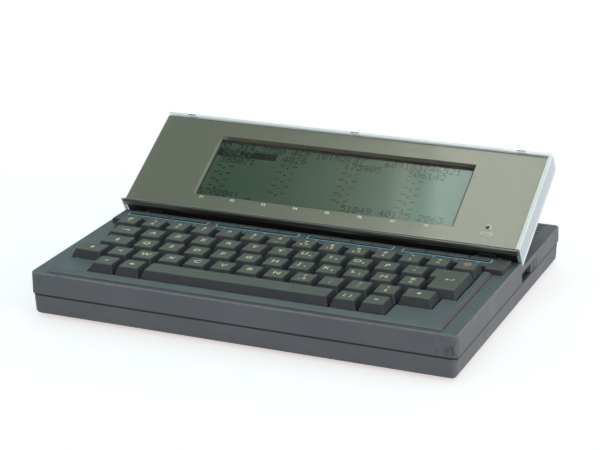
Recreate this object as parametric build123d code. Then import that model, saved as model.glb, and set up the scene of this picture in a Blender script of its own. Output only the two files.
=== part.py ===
from build123d import *

import math
import os

# Portable computer of the early eighties: a flat case with a full keyboard,
# and a display that tilts on its front edge.
# Millimetres. X runs to the user's right, Y to the back, Z up. The origin is the middle of the
# footprint, on the surface that the rubber feet stand on. The display is modelled tilted, as in use.

# Case
CASE_WIDTH = 296.9
CASE_DEPTH = 222.3
HALF_WIDTH = CASE_WIDTH / 2
HALF_DEPTH = CASE_DEPTH / 2
CASE_WALL = 2.2
CASE_CORNER = 4.0
FOOT_HEIGHT = 2.0
SEAM_Z = 16.4
DECK_Z = 31.7
REAR_DECK_Z = DECK_Z - 4.3
UPPER_DRAFT = 1.0
LOWER_DRAFT = 3.0
LOWER_INSET = 0.7
DECK_ROUND = 0.9
BASE_ROUND = 3.0
SEAM_GROOVE = 0.6

# Clearances between pieces
FIT = 0.3
PIN_FIT = 0.05

# Keys: the field of fourteen by five keys keeps a margin from the case's sides and front
KEYS_ACROSS = 14
KEY_ROWS = 5
KEY_FIELD_SIDE = 15.45
KEY_FIELD_FRONT = 11.65
KEY_FIELD_CENTRE_X = -2.2
KEY_PITCH = (CASE_WIDTH - 2 * KEY_FIELD_SIDE) / KEYS_ACROSS
KEY_FIELD_FRONT_Y = KEY_FIELD_FRONT - HALF_DEPTH
KEY_FIELD_BACK_Y = KEY_FIELD_FRONT_Y + KEY_PITCH * KEY_ROWS
FIRST_KEY_X = KEY_FIELD_CENTRE_X - KEY_PITCH * (KEYS_ACROSS - 1) / 2
FRONT_ROW_Y = KEY_FIELD_FRONT_Y + KEY_PITCH / 2
KEY_GAP = 1.2
KEY_TOP_Z = DECK_Z + 7.0
KEY_TRAVEL = 3.0
CAP_HEIGHT = 5.6
CAP_SIDE_SLOPE = 2.4
CAP_FRONT_SLOPE = 2.8
CAP_BACK_SLOPE = 2.0
CAP_WALL = 1.2
CAP_CEILING = 1.6
CAP_ROUND = 0.5
STEM_RADIUS = 2.6
STEM_ENGAGEMENT = 1.0
KEY_OPENING_GAP = 0.4

# Rows of keys, from the front row to the back row: the first and last edge in key pitches,
# and the places of the square keys in key pitches from the first key
ROW_EDGES = [(0.75, 11.75), (-0.5, 13.0), (-0.05, 13.5), (-0.25, 13.5), (-0.5, 13.5)]
ROW_SQUARES = [
    [1.25, 2.25, 10.25, 11.25],
    [1.25 + i for i in range(11)],
    [1.75 + i for i in range(11)],
    [1.5 + i for i in range(11)],
    [float(i) for i in range(14)],
]
# Long keys: name, row, left edge and right edge in key pitches
LONG_KEYS = [
    ("key_tab", 3, -0.25, 1.0),
    ("key_shift_lock", 2, -0.05, 1.25),
    ("key_shift_left", 1, -0.5, 0.75),
    ("key_shift_right", 1, 11.75, 13.0),
    ("key_space", 0, 2.75, 9.75),
]
# The enter key takes two rows and is wider in the upper one
ENTER_ROWS = (2, 3)
ENTER_LOWER_EDGE = 12.25
ENTER_UPPER_EDGE = 12.0
ENTER_RIGHT_EDGE = 13.5

# The case steps down to its rear deck this far behind the keys
STEP_Y = KEY_FIELD_BACK_Y + 24.1

# Plateau round the keyboard
PLATEAU_HEIGHT = 1.7
PLATEAU_HALF_WIDTH = HALF_WIDTH - 11.85
PLATEAU_SIDE_BEVEL = 1.8
PLATEAU_FRONT_Y = 5.35 - HALF_DEPTH
PLATEAU_FRONT_BEVEL = 4.8
PLATEAU_GROOVE = 0.6

# Function keys and the raised strip that they stand in
STRIP_TOP_Z = DECK_Z + 3.8
STRIP_FRONT_Y = KEY_FIELD_BACK_Y - 2.5
STRIP_BACK_Y = KEY_FIELD_BACK_Y + 17.3
STRIP_HALF_WIDTH = HALF_WIDTH - 5.25
STRIP_END = 5.4
STRIP_WALL = 1.8
STRIP_ROUND = 0.5
FUNCTION_CENTRE_X = -2.4
FUNCTION_GROUPS = 4
FUNCTION_GROUP_GAP = 7.7
FUNCTION_KEYS_PER_GROUP = 4
FUNCTION_GROUP_PITCH = 2 * (STRIP_HALF_WIDTH - STRIP_END) / FUNCTION_GROUPS
FUNCTION_PITCH = (FUNCTION_GROUP_PITCH - FUNCTION_GROUP_GAP) / FUNCTION_KEYS_PER_GROUP
FUNCTION_GAP = 0.5
FUNCTION_DEPTH = 5.0
FUNCTION_FRONT_Y = KEY_FIELD_BACK_Y + 9.7
FUNCTION_WINDOW_FRONT = 1.3
FUNCTION_PROUD = 0.6
FUNCTION_TRAVEL = 1.5
FUNCTION_STEM = (4.0, 2.0)
FUNCTION_SWITCH = (10.0, 5.0)
FUNCTION_SWITCH_TOP_Z = DECK_Z - 3.2

# Key switches, plate and boards
PLATE_THICKNESS = 1.2
PLATE_TOP_Z = DECK_Z - 6.4
PLATE_HALF_WIDTH = HALF_WIDTH - 8.45
PLATE_FRONT_Y = KEY_FIELD_FRONT_Y - 0.7
PLATE_BACK_Y = KEY_FIELD_BACK_Y + 1.1
SWITCH_HOLE = 14.0
SWITCH_BODY = 13.6
SWITCH_COLLAR = 15.2
SWITCH_TOP_Z = DECK_Z - 2.2
SWITCH_WELL_DEPTH = KEY_TRAVEL + STEM_ENGAGEMENT + 0.8
BOARD_THICKNESS = 1.6
KEY_BOARD_Z = DECK_Z - 12.6
KEY_BOARD_HALF_WIDTH = HALF_WIDTH - 14.85
KEY_BOARD_BACK_Y = KEY_FIELD_BACK_Y + 17.5
MAIN_BOARD_Z = 7.2
MAIN_BOARD_HALF_WIDTH = HALF_WIDTH - 16.45
MAIN_BOARD_FRONT_Y = 15.15 - HALF_DEPTH
MAIN_BOARD_BACK_Y = HALF_DEPTH - 8.15
MAIN_BOARD_TAB_X = 4.15 - HALF_WIDTH
STANDOFF_RADIUS = 3.0
STANDOFF_INSET = 8.0
STANDOFF_XS = (STANDOFF_INSET - MAIN_BOARD_HALF_WIDTH, 0.0, MAIN_BOARD_HALF_WIDTH - STANDOFF_INSET)
STANDOFF_YS = (MAIN_BOARD_FRONT_Y + STANDOFF_INSET, STEP_Y + 10.4, MAIN_BOARD_BACK_Y - STANDOFF_INSET)
PLATE_BOSS_X = HALF_WIDTH - 11.25
PLATE_BOSS_YS = (
    KEY_FIELD_FRONT_Y + 7.5,
    (KEY_FIELD_FRONT_Y + KEY_FIELD_BACK_Y) / 2,
    KEY_FIELD_BACK_Y - 4.5,
)
PLATE_BOSS_RADIUS = 2.6

# Space bar guides
GUIDE_REACH = 50.0
GUIDE_OUTER = 4.0
GUIDE_HEIGHT = 3.8

# Screws that hold the case halves together
SCREW_RADIUS = 1.5
SCREW_HEAD_RADIUS = 2.7
SCREW_HEAD_HEIGHT = 1.8
SCREW_SLOT_REACH = 1.6
SCREW_SLOT_WIDTH = 0.8
SCREW_SEAT_Z = 9.0
SCREW_TIP_Z = SEAM_Z + 6.1
SCREW_CLEARANCE = 0.2
BOSS_RADIUS = 4.2
BOSS_X = HALF_WIDTH - 7.65
BOSS_YS = (6.55 - HALF_DEPTH, STEP_Y + 40.4, HALF_DEPTH - 7.15)
BOSS_PLACES = [(x, y) for x in (-BOSS_X, BOSS_X) for y in BOSS_YS]

# Rubber feet
FOOT_RADIUS = 6.0
FOOT_RECESS = 0.8
FOOT_ROUND = 0.6
FOOT_X = HALF_WIDTH - 22.45
FOOT_YS = (21.15 - HALF_DEPTH, HALF_DEPTH - 13.15)
FOOT_PLACES = [(x, y) for x in (-FOOT_X, FOOT_X) for y in FOOT_YS]

# Batteries: four cells, two by two, in a bay at the back left
CELL_RADIUS = 7.1
CELL_LENGTH = 49.0
CELL_NUB_RADIUS = 2.6
CELL_NUB_LENGTH = 1.4
CONTACT_THICKNESS = 0.4
CELL_GAP = 0.8
BAY_CENTRE = (78.45 - HALF_WIDTH, HALF_DEPTH - 41.15)
BAY_WALL = 1.6
BAY_CLEARANCE = 0.4
BAY_TOP_Z = 20.2
DOOR_THICKNESS = 1.5
DOOR_LIP = 3.0
DOOR_TRAVEL = 8.0
GRIP_GROOVES = 4
GRIP_PITCH = 3.0
GRIP_WIDTH = 1.0
GRIP_LENGTH = 16.0
GRIP_DEPTH = 0.5

# Cover over the empty chip socket, under the case
OPTION_SIZE = (62.0, 34.0)
OPTION_CENTRE = (HALF_WIDTH - 86.45, HALF_DEPTH - 47.15)
OPTION_THICKNESS = 1.5
OPTION_LIP = 2.5

# Vents in the rear deck
VENT_ROWS = 5
VENT_PITCH = 5.0
VENT_YS = [HALF_DEPTH - 24.85 + VENT_PITCH * i for i in range(VENT_ROWS)]
VENT_WIDTH = 1.6
VENT_HALF_SPAN = HALF_WIDTH - 9.45
VENT_LENGTH = 62.0

# Power switch on the right side
POWER_SLOT_Y = (STEP_Y + 1.4, STEP_Y + 34.4)
POWER_SLOT_Z = (SEAM_Z + 0.6, REAR_DECK_Z - 3.3)
POWER_SLOT_DEPTH = 4.2
POWER_POCKET_WALL = 1.6
POWER_KNOB_LENGTH = 12.4
POWER_RIBS = 5
POWER_RIB_PITCH = 1.5
POWER_RIB_WIDTH = 0.6
POWER_RIB_DEPTH = 0.4

# Contrast dial, supply socket and bar-code wand socket on the left side
DIAL_RADIUS = 9.0
DIAL_THICKNESS = 3.2
DIAL_Y = STEP_Y + 0.4
DIAL_PROUD = 0.5
DIAL_Z = SEAM_Z - 3.0
DIAL_PIN_RADIUS = 1.5
DIAL_POT = (9.0, 11.0)
DIAL_NOTCH_RADIUS = 0.6
DIAL_NOTCHES = 30
JACK_Y = STEP_Y + 20.4
JACK_SIZE = (12.0, 10.0, 11.0)
JACK_RADIUS = 2.9
JACK_PIN_RADIUS = 1.0
JACK_DEPTH = 9.0
JACK_OPENING_RADIUS = 5.0

# Sockets in the back, set from the case's right side
SERIAL_X = HALF_WIDTH - 48.45
D_FLANGE_HEIGHT = 12.4
D_FLANGE_THICKNESS = 1.2
D_SHELL_HEIGHT = 8.4
D_SHELL_LENGTH = 5.8
D_SHELL_SLANT = 10.0
D_BODY_DEPTH = 7.0
D_RECESS = 0.6
D_SHELL_ROUND = 1.4
D_HOLE_RADIUS = 1.55
SERIAL_SHELL_WIDTH = 38.4
SERIAL_SCREW_PITCH = 47.04
SERIAL_FLANGE_WIDTH = 53.0
WAND_Y = (KEY_FIELD_FRONT_Y + KEY_FIELD_BACK_Y) / 2 + 12.0
WAND_SHELL_WIDTH = 16.9
WAND_SCREW_PITCH = 24.99
WAND_FLANGE_WIDTH = 30.8
PRINTER_X = HALF_WIDTH - 102.45
PRINTER_SIZE = (40.0, 12.0, 9.0)
PRINTER_PINS = 13
PRINTER_PIN_PITCH = 2.54
PRINTER_PIN_SIDE = 0.64
PRINTER_WALL = 1.2
ROUND_SOCKET_XS = (HALF_WIDTH - 154.45, HALF_WIDTH - 134.45)
ROUND_SOCKET_SIZE = (17.0, 14.0, 13.0)
ROUND_SOCKET_RADIUS = 5.8
ROUND_CORE_RADIUS = 4.2
ROUND_SOCKET_DEPTH = 8.0
RESET_X = HALF_WIDTH - 180.45
RESET_RADIUS = 2.0
RESET_REACH = 4.0
RESET_COLLAR_RADIUS = 3.0
RESET_COLLAR = 1.0
RESET_TRAVEL = 1.0
RESET_SWITCH = (7.0, 7.0)

# Board parts: centre x, centre y, length along x, width along y, height
CHIPS = [
    (-96, -66, 52, 15, 4.0),
    (-96, -36, 36, 9, 3.8),
    (-40, -66, 52, 15, 4.0),
    (-40, -40, 20, 8, 3.4),
    (-14, -40, 20, 8, 3.4),
    (24, -60, 30, 10, 3.8),
    (66, -60, 30, 10, 3.8),
    (24, -38, 30, 10, 3.8),
    (66, -38, 30, 10, 3.8),
    (106, -56, 22, 18, 4.2),
    (-60, -6, 20, 8, 3.4),
    (-30, -6, 20, 8, 3.4),
    (10, 2, 36, 14, 3.8),
    (62, 60, 40, 15, 5.6),
]
BACKUP_CENTRE = (HALF_WIDTH - 44.45, STEP_Y - 17.6)
BACKUP_RADIUS = 5.4
BACKUP_LENGTH = 26.0

# Display, in its own plane: s to the right, t up the panel, n out of its face.
# The panel's lower front edge stands here, and the panel leans back by this much from flat.
DISPLAY_Y = KEY_FIELD_BACK_Y + 19.9
DISPLAY_Z = DECK_Z + 10.2
DISPLAY_TILT = 30.3
DISPLAY_HALF_WIDTH = HALF_WIDTH - 0.45
DISPLAY_LENGTH = 86.5
DISPLAY_THICKNESS = 16.0
COVER_SIDE = 2.4
COVER_SHEET = 1.6
COVER_ROUND = 0.8
COVER_LIP = 0.6
PANEL_THICKNESS = 1.2
PANEL_EDGE = 0.3
PANEL_HALF_WIDTH = DISPLAY_HALF_WIDTH - COVER_SIDE - PANEL_EDGE
PANEL_LENGTH = DISPLAY_LENGTH - COVER_SIDE - PANEL_EDGE
BACK_WALL = 2.0
BACK_ROUND = 0.8
WINDOW_WIDTH = 2 * (PANEL_HALF_WIDTH - 48.0)
WINDOW_BOTTOM = 13.2
WINDOW_TOP = PANEL_LENGTH - 14.1
WINDOW_CENTRE = 0.5
WINDOW_DEPTH = 3.6
WINDOW_BEVEL = 0.5
WINDOW_RIM = 1.0
GLASS_OVERLAP = 4.0
GLASS_THICKNESS = 2.8
LCD_FRAME_WALL = 2.0
LCD_FRAME_HEIGHT = 4.2
LCD_BOARD_MARGIN = 4.0
LCD_CHIPS_ACROSS = 5
LCD_CHIP_INSET = 17.0
LCD_CHIP_SIZE = (18.0, 12.0, 2.0)
LED_PLACE = (PANEL_HALF_WIDTH - 23.5, 16.2)
LED_RADIUS = 1.5
LED_ROUND = 1.2
LED_LENGTH = 5.0
LED_ARM = 10.0
LED_POST = 4.0
RUBBER_EDGE = 1.0
RUBBER_WIDTH = 2.0
CATCH_XS = (21.5 - DISPLAY_HALF_WIDTH, 2.5, DISPLAY_HALF_WIDTH - 22.5)
CATCH_WIDTH = 7.0
CATCH_HEIGHT = 3.0
CATCH_DEPTH = 1.2
CATCH_DOWN = 5.0

# Display hinges: the axis, measured from the display's lower back corner, and the two ears under it
HINGE_INSET = 3.5
HINGE_XS = (24.0 - DISPLAY_HALF_WIDTH, DISPLAY_HALF_WIDTH - 24.0)
EAR_WIDTH = 12.0
NOTCH_WIDTH = 20.0
PIN_RADIUS = 1.5
PIN_LENGTH = 32.0
EAR_RADIUS = 3.2
EAR_SLOT_GAP = 0.5
EAR_FOOT = (16.0, 14.0, 1.6)
NOTCH_REACH = 9.0

# Values worked out from the sizes above
CASE_BOTTOM_Z = FOOT_HEIGHT
FLOOR_Z = CASE_BOTTOM_Z + CASE_WALL
DECK_UNDER_Z = DECK_Z - CASE_WALL
REAR_UNDER_Z = REAR_DECK_Z - CASE_WALL
CAP_BOTTOM_Z = KEY_TOP_Z - CAP_HEIGHT
WELL_RADIUS = STEM_RADIUS + FIT
PLATE_UNDER_Z = PLATE_TOP_Z - PLATE_THICKNESS
KEY_BOARD_TOP_Z = KEY_BOARD_Z + BOARD_THICKNESS
MAIN_BOARD_TOP_Z = MAIN_BOARD_Z + BOARD_THICKNESS
STRIP_OPENING_Y = FUNCTION_FRONT_Y - FUNCTION_WINDOW_FRONT
FUNCTION_BACK_Y = FUNCTION_FRONT_Y + FUNCTION_DEPTH
FUNCTION_MID_Y = FUNCTION_FRONT_Y + FUNCTION_DEPTH / 2
FUNCTION_TOP_Z = STRIP_TOP_Z + FUNCTION_PROUD
CELL_PACK_LENGTH = 2 * (CELL_LENGTH + CELL_NUB_LENGTH) + 2 * CONTACT_THICKNESS + CELL_GAP
BAY_HALF_X = CELL_PACK_LENGTH / 2 + BAY_CLEARANCE
BAY_HALF_Y = 2 * CELL_RADIUS + CELL_GAP / 2 + BAY_CLEARANCE
CELL_Z = FLOOR_Z + CELL_RADIUS + CELL_GAP
HINGE_T = HINGE_INSET
HINGE_N = HINGE_INSET - DISPLAY_THICKNESS
DISPLAY_PLACE = Location((0, DISPLAY_Y, DISPLAY_Z), (DISPLAY_TILT, 0, 0))
TILT = math.radians(DISPLAY_TILT)
HINGE_Y = DISPLAY_Y + HINGE_T * math.cos(TILT) - HINGE_N * math.sin(TILT)
HINGE_Z = DISPLAY_Z + HINGE_T * math.sin(TILT) + HINGE_N * math.cos(TILT)


def block(x, y, z):
    """A box between the low and high value of each pair."""
    size = [high - low for low, high in (x, y, z)]
    middle = [(low + high) / 2 for low, high in (x, y, z)]
    return Pos(*middle) * Box(*size)


def column(radius, x, y, z):
    """An upright cylinder between the two heights."""
    return Pos(x, y, z[0]) * Cylinder(radius, z[1] - z[0], align=(Align.CENTER, Align.CENTER, Align.MIN))


def axle(radius, x, y, z):
    """A cylinder along X between the two x values."""
    return Pos((x[0] + x[1]) / 2, y, z) * Rot(0, 90, 0) * Cylinder(radius, x[1] - x[0])


def plug(radius, x, y, z):
    """A cylinder along Y between the two y values."""
    return Pos(x, (y[0] + y[1]) / 2, z) * Rot(90, 0, 0) * Cylinder(radius, y[1] - y[0])


def union(solids):
    """All the solids joined into one."""
    first, *rest = list(solids)
    return first.fuse(*rest) if rest else first


def rounded_slab(half_x, half_y, corner, z, height, draft):
    """A slab with rounded corners that stands on height z, or hangs from it where the height is negative."""
    outline = Pos(0, 0, z) * RectangleRounded(2 * half_x, 2 * half_y, corner)
    direction = (0, 0, 1 if height > 0 else -1)
    return extrude(outline, amount=abs(height), dir=direction, taper=draft)


def edges_at(solid, z):
    """The edges that lie in the level plane at height z."""
    ends = [(e, e.bounding_box().min.Z, e.bounding_box().max.Z) for e in solid.edges()]
    return [e for e, low, high in ends if abs(low - z) + abs(high - z) < 0.01]


def key_x(pitches):
    """The place along X of a distance in key pitches from the first key."""
    return FIRST_KEY_X + KEY_PITCH * pitches


def row_y(row):
    """The middle of a row of keys, counted from the front."""
    return FRONT_ROW_Y + KEY_PITCH * row


def long_key_centre(row, left, right):
    return key_x((left + right) / 2), row_y(row)


def enter_centre():
    """The enter key's stem, in the middle of its lower part."""
    return key_x((ENTER_LOWER_EDGE + ENTER_RIGHT_EDGE) / 2), row_y(sum(ENTER_ROWS) / 2)


def square_key_places(row):
    return [(key_x(place), row_y(row)) for place in ROW_SQUARES[row]]


def switch_places():
    """The middle of every key that has a switch."""
    squares = [place for row in range(len(ROW_SQUARES)) for place in square_key_places(row)]
    longs = [long_key_centre(row, left, right) for _, row, left, right in LONG_KEYS]
    return squares + longs + [enter_centre()]


def function_key_centres():
    """The middle of each function key along X, from the left."""
    middle_key = (FUNCTION_KEYS_PER_GROUP - 1) / 2
    shifts = [FUNCTION_PITCH * (key - middle_key) for key in range(FUNCTION_KEYS_PER_GROUP)]
    return [centre + shift for centre in function_group_centres() for shift in shifts]


def function_group_centres():
    middle_group = (FUNCTION_GROUPS - 1) / 2
    return [FUNCTION_CENTRE_X + FUNCTION_GROUP_PITCH * (g - middle_group) for g in range(FUNCTION_GROUPS)]


def key_opening(z):
    """The stepped opening that the keys stand in, as a solid between two heights."""
    reach = KEY_PITCH / 2 + KEY_OPENING_GAP
    rows = []
    for row, (left, right) in enumerate(ROW_EDGES):
        x = (key_x(left) - KEY_OPENING_GAP, key_x(right) + KEY_OPENING_GAP)
        rows.append(block(x, (row_y(row) - reach, row_y(row) + reach), z))
    return union(rows)


def frustum(left, right, front, back, height, inset=0.0):
    """A key cap's sloping block: its base edges, and the inset of its walls."""
    base_x = (left + inset, right - inset)
    base_y = (front + inset, back - inset)
    top_x = (left + CAP_SIDE_SLOPE + inset, right - CAP_SIDE_SLOPE - inset)
    top_y = (front + CAP_FRONT_SLOPE + inset, back - CAP_BACK_SLOPE - inset)
    sections = []
    for (x0, x1), (y0, y1), z in ((base_x, base_y, 0), (top_x, top_y, height)):
        sections.append(Pos((x0 + x1) / 2, (y0 + y1) / 2, z) * Rectangle(x1 - x0, y1 - y0))
    return loft(sections, ruled=True)


def cap_stem():
    """The stem under a key cap, down into its switch."""
    low = SWITCH_TOP_Z - STEM_ENGAGEMENT - CAP_BOTTOM_Z
    return column(STEM_RADIUS, 0, 0, (low, CAP_HEIGHT - CAP_CEILING))


def hollow_cap(left, right, front, back):
    """A hollow key cap whose base edges are given."""
    outer = frustum(left, right, front, back, CAP_HEIGHT)
    sloping = [e for e in outer.edges() if abs(e.bounding_box().size.Z - CAP_HEIGHT) < 0.01]
    outer = fillet(sloping, CAP_ROUND)
    outer = fillet(edges_at(outer, CAP_HEIGHT), CAP_ROUND)
    inner = frustum(left, right, front, back, CAP_HEIGHT, CAP_WALL)
    return outer - (inner & block((left, right), (front, back), (0, CAP_HEIGHT - CAP_CEILING)))


def key_cap(pitches):
    """A key cap of this many pitches, with its stem in the middle of its base."""
    half_x = (KEY_PITCH * pitches - KEY_GAP) / 2
    half_y = (KEY_PITCH - KEY_GAP) / 2
    return hollow_cap(-half_x, half_x, -half_y, half_y) + cap_stem()


def key_row(row):
    """The square keys of one row."""
    cap = key_cap(1)
    return [Pos(x, y, CAP_BOTTOM_Z) * cap for x, y in square_key_places(row)]


def long_key(row, left, right):
    x, y = long_key_centre(row, left, right)
    return Pos(x, y, CAP_BOTTOM_Z) * key_cap(right - left)


def space_key(row, left, right):
    """The space bar, with a guide post each side of its stem."""
    bar = long_key(row, left, right)
    post_z = (SWITCH_TOP_Z - STEM_ENGAGEMENT, KEY_TOP_Z - CAP_CEILING)
    posts = [column(STEM_RADIUS, x, y, post_z) for x, y in guide_places()]
    return union([bar, *posts])


def enter_key():
    """The two-row key, wider in its upper row."""
    x, y = enter_centre()
    half_gap = KEY_GAP / 2
    right = key_x(ENTER_RIGHT_EDGE) - x - half_gap
    lower_left = key_x(ENTER_LOWER_EDGE) - x + half_gap
    upper_left = key_x(ENTER_UPPER_EDGE) - x + half_gap
    front = row_y(ENTER_ROWS[0]) - y - KEY_PITCH / 2 + half_gap
    middle = row_y(ENTER_ROWS[1]) - y - KEY_PITCH / 2 + half_gap
    back = row_y(ENTER_ROWS[1]) - y + KEY_PITCH / 2 - half_gap
    whole = hollow_cap(lower_left, right, front, back)
    ledge = hollow_cap(upper_left, right, middle, back)
    room = frustum(lower_left, right, front, back, CAP_HEIGHT, CAP_WALL)
    ledge_room = frustum(upper_left, right, middle, back, CAP_HEIGHT, CAP_WALL)
    under_ceiling = block((upper_left, right), (front, back), (0, CAP_HEIGHT - CAP_CEILING))
    cap = (whole + ledge) - ((room + ledge_room) & under_ceiling)
    return Pos(x, y, CAP_BOTTOM_Z) * (cap + cap_stem())


def function_key(x):
    """A thin bar key with a stem down into its switch."""
    half_x = (FUNCTION_PITCH - FUNCTION_GAP) / 2
    shoulder = STRIP_TOP_Z - STRIP_WALL - FUNCTION_TRAVEL
    bar = block((x - half_x, x + half_x), (FUNCTION_FRONT_Y, FUNCTION_BACK_Y), (shoulder, FUNCTION_TOP_Z))
    bar = fillet(edges_at(bar, FUNCTION_TOP_Z), STRIP_ROUND)
    stem_x, stem_y = (side / 2 for side in FUNCTION_STEM)
    low = FUNCTION_SWITCH_TOP_Z - STEM_ENGAGEMENT
    stem_span = (FUNCTION_MID_Y - stem_y, FUNCTION_MID_Y + stem_y)
    return bar + block((x - stem_x, x + stem_x), stem_span, (low, shoulder))


def key_switches():
    """The switch under each key: a square body with a collar on the plate and a well for the stem."""
    rim = (-SWITCH_COLLAR / 2, SWITCH_COLLAR / 2)
    collar = block(rim, rim, (PLATE_TOP_Z, SWITCH_TOP_Z))
    collar = chamfer(edges_at(collar, SWITCH_TOP_Z), CAP_ROUND)
    side = (-SWITCH_BODY / 2, SWITCH_BODY / 2)
    body = block(side, side, (KEY_BOARD_TOP_Z, PLATE_TOP_Z))
    well = column(WELL_RADIUS, 0, 0, (SWITCH_TOP_Z - SWITCH_WELL_DEPTH, SWITCH_TOP_Z))
    switch = collar + body - well
    return [Pos(x, y, 0) * switch for x, y in switch_places()]


def function_switches():
    """The small switch under each function key."""
    half_x, half_y = (side / 2 for side in FUNCTION_SWITCH)
    well_x, well_y = (side / 2 + FIT for side in FUNCTION_STEM)
    well_z = FUNCTION_SWITCH_TOP_Z - STEM_ENGAGEMENT - FUNCTION_TRAVEL - FIT
    body = block((-half_x, half_x), (-half_y, half_y), (KEY_BOARD_TOP_Z, FUNCTION_SWITCH_TOP_Z))
    switch = body - block((-well_x, well_x), (-well_y, well_y), (well_z, FUNCTION_SWITCH_TOP_Z))
    return [Pos(x, FUNCTION_MID_Y, 0) * switch for x in function_key_centres()]


def guide_places():
    """The two sleeves that guide the space bar's posts."""
    row, left, right = next(key[1:] for key in LONG_KEYS if key[0] == "key_space")
    x, y = long_key_centre(row, left, right)
    return [(x + side * GUIDE_REACH, y) for side in (-1, 1)]


def keyboard_plate():
    """The steel plate that carries the switches and the space bar's two sleeves."""
    plate = Pos(0, (PLATE_FRONT_Y + PLATE_BACK_Y) / 2, PLATE_UNDER_Z) * Rectangle(
        2 * PLATE_HALF_WIDTH, PLATE_BACK_Y - PLATE_FRONT_Y
    )
    holes = [Pos(x, y, PLATE_UNDER_Z) * Rectangle(SWITCH_HOLE, SWITCH_HOLE) for x, y in switch_places()]
    plate = extrude(plate - holes, amount=PLATE_THICKNESS)
    sleeve_z = (PLATE_UNDER_Z, PLATE_TOP_Z + GUIDE_HEIGHT)
    plate = plate.fuse(*[column(GUIDE_OUTER, x, y, sleeve_z) for x, y in guide_places()])
    return plate.cut(*[column(WELL_RADIUS, x, y, sleeve_z) for x, y in guide_places()])


def keyboard_board():
    """The circuit board under the switches."""
    x = (-KEY_BOARD_HALF_WIDTH, KEY_BOARD_HALF_WIDTH)
    return block(x, (PLATE_FRONT_Y, KEY_BOARD_BACK_Y), (KEY_BOARD_Z, KEY_BOARD_TOP_Z))


def bay_box(grow, z):
    """The battery bay's outline, grown by a wall, as a solid between two heights."""
    x, y = BAY_CENTRE
    half_x = BAY_HALF_X + grow
    half_y = BAY_HALF_Y + grow
    return block((x - half_x, x + half_x), (y - half_y, y + half_y), z)


def main_board():
    """The main circuit board round the battery bay, with a tab under each socket of the left side."""
    x = (-MAIN_BOARD_HALF_WIDTH, MAIN_BOARD_HALF_WIDTH)
    z = (MAIN_BOARD_Z, MAIN_BOARD_TOP_Z)
    board = block(x, (MAIN_BOARD_FRONT_Y, MAIN_BOARD_BACK_Y), z)
    tabs = [
        block((MAIN_BOARD_TAB_X, x[0]), (y - width / 2, y + width / 2), z)
        for y, width in ((WAND_Y, WAND_SHELL_WIDTH), (DIAL_Y, DIAL_POT[1]), (JACK_Y, JACK_SIZE[1]))
    ]
    return board.fuse(*tabs) - bay_box(BAY_WALL + 2 * FIT, z)


def board_parts():
    """Chips, the contrast control under its dial and the reset switch, on the main board."""
    parts = []
    for x, y, length, width, height in CHIPS:
        z = (MAIN_BOARD_TOP_Z, MAIN_BOARD_TOP_Z + height)
        parts.append(block((x - length / 2, x + length / 2), (y - width / 2, y + width / 2), z))
    pot_x, pot_y = (side / 2 for side in DIAL_POT)
    x = dial_x()
    pot = block((x - pot_x, x + pot_x), (DIAL_Y - pot_y, DIAL_Y + pot_y), (MAIN_BOARD_TOP_Z, DIAL_Z - FIT))
    parts.append(pot + column(DIAL_PIN_RADIUS, x, DIAL_Y, (DIAL_Z - FIT, DIAL_Z + DIAL_THICKNESS)))
    half_x, half_z = (side / 2 for side in RESET_SWITCH)
    z = rear_socket_z()
    back = reset_inner_y() - RESET_TRAVEL - FIT
    x = (RESET_X - half_x, RESET_X + half_x)
    parts.append(block(x, (back - 2 * half_x, back), (MAIN_BOARD_TOP_Z, z + half_z)))
    return parts


def reset_inner_y():
    """The inner end of the reset button."""
    return HALF_DEPTH - CASE_WALL - RESET_REACH


def reset_button():
    """A short plunger through the back wall, with a collar inside it."""
    z = rear_socket_z()
    shaft = plug(RESET_RADIUS, RESET_X, (reset_inner_y(), HALF_DEPTH - FIT), z)
    collar_front = HALF_DEPTH - CASE_WALL - 3 * FIT
    return shaft + plug(RESET_COLLAR_RADIUS, RESET_X, (collar_front - RESET_COLLAR, collar_front), z)


def dial_x():
    """The dial's axis, set so that its rim stands out of the side."""
    return -HALF_WIDTH - DIAL_PROUD + DIAL_RADIUS + LOWER_INSET


def rear_socket_z():
    """The height of the middle of the sockets in the back and side."""
    return MAIN_BOARD_TOP_Z + D_FLANGE_HEIGHT / 2 + FIT


def contrast_dial():
    """A ribbed thumbwheel on an upright pin."""
    x = dial_x()
    z = (DIAL_Z, DIAL_Z + DIAL_THICKNESS)
    wheel = column(DIAL_RADIUS, x, DIAL_Y, z) - column(DIAL_PIN_RADIUS + PIN_FIT, x, DIAL_Y, z)
    notch = column(DIAL_NOTCH_RADIUS, DIAL_RADIUS, 0, (0, DIAL_THICKNESS))
    turns = [360 * i / DIAL_NOTCHES for i in range(DIAL_NOTCHES)]
    notches = [Pos(x, DIAL_Y, DIAL_Z) * Rot(0, 0, turn) * notch for turn in turns]
    return wheel - union(notches)


def backup_battery():
    """A sealed cell that keeps the memory, lying on the main board."""
    x, y = BACKUP_CENTRE
    z = MAIN_BOARD_TOP_Z + BACKUP_RADIUS
    can = axle(BACKUP_RADIUS, (x - BACKUP_LENGTH / 2, x + BACKUP_LENGTH / 2), y, z)
    room_x = (x - BACKUP_LENGTH, x + BACKUP_LENGTH)
    room_y = (y - 2 * BACKUP_RADIUS, y + 2 * BACKUP_RADIUS)
    return can & block(room_x, room_y, (MAIN_BOARD_TOP_Z, KEY_BOARD_Z - FIT))


def power_pocket(grow, outer_x):
    """The power switch's pocket in the right side, grown by a wall."""
    y = (POWER_SLOT_Y[0] - grow, POWER_SLOT_Y[1] + grow)
    z = (SEAM_Z if grow else POWER_SLOT_Z[0], POWER_SLOT_Z[1] + min(grow, REAR_UNDER_Z - POWER_SLOT_Z[1]))
    return block((HALF_WIDTH - POWER_SLOT_DEPTH - grow, outer_x), y, z)


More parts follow.
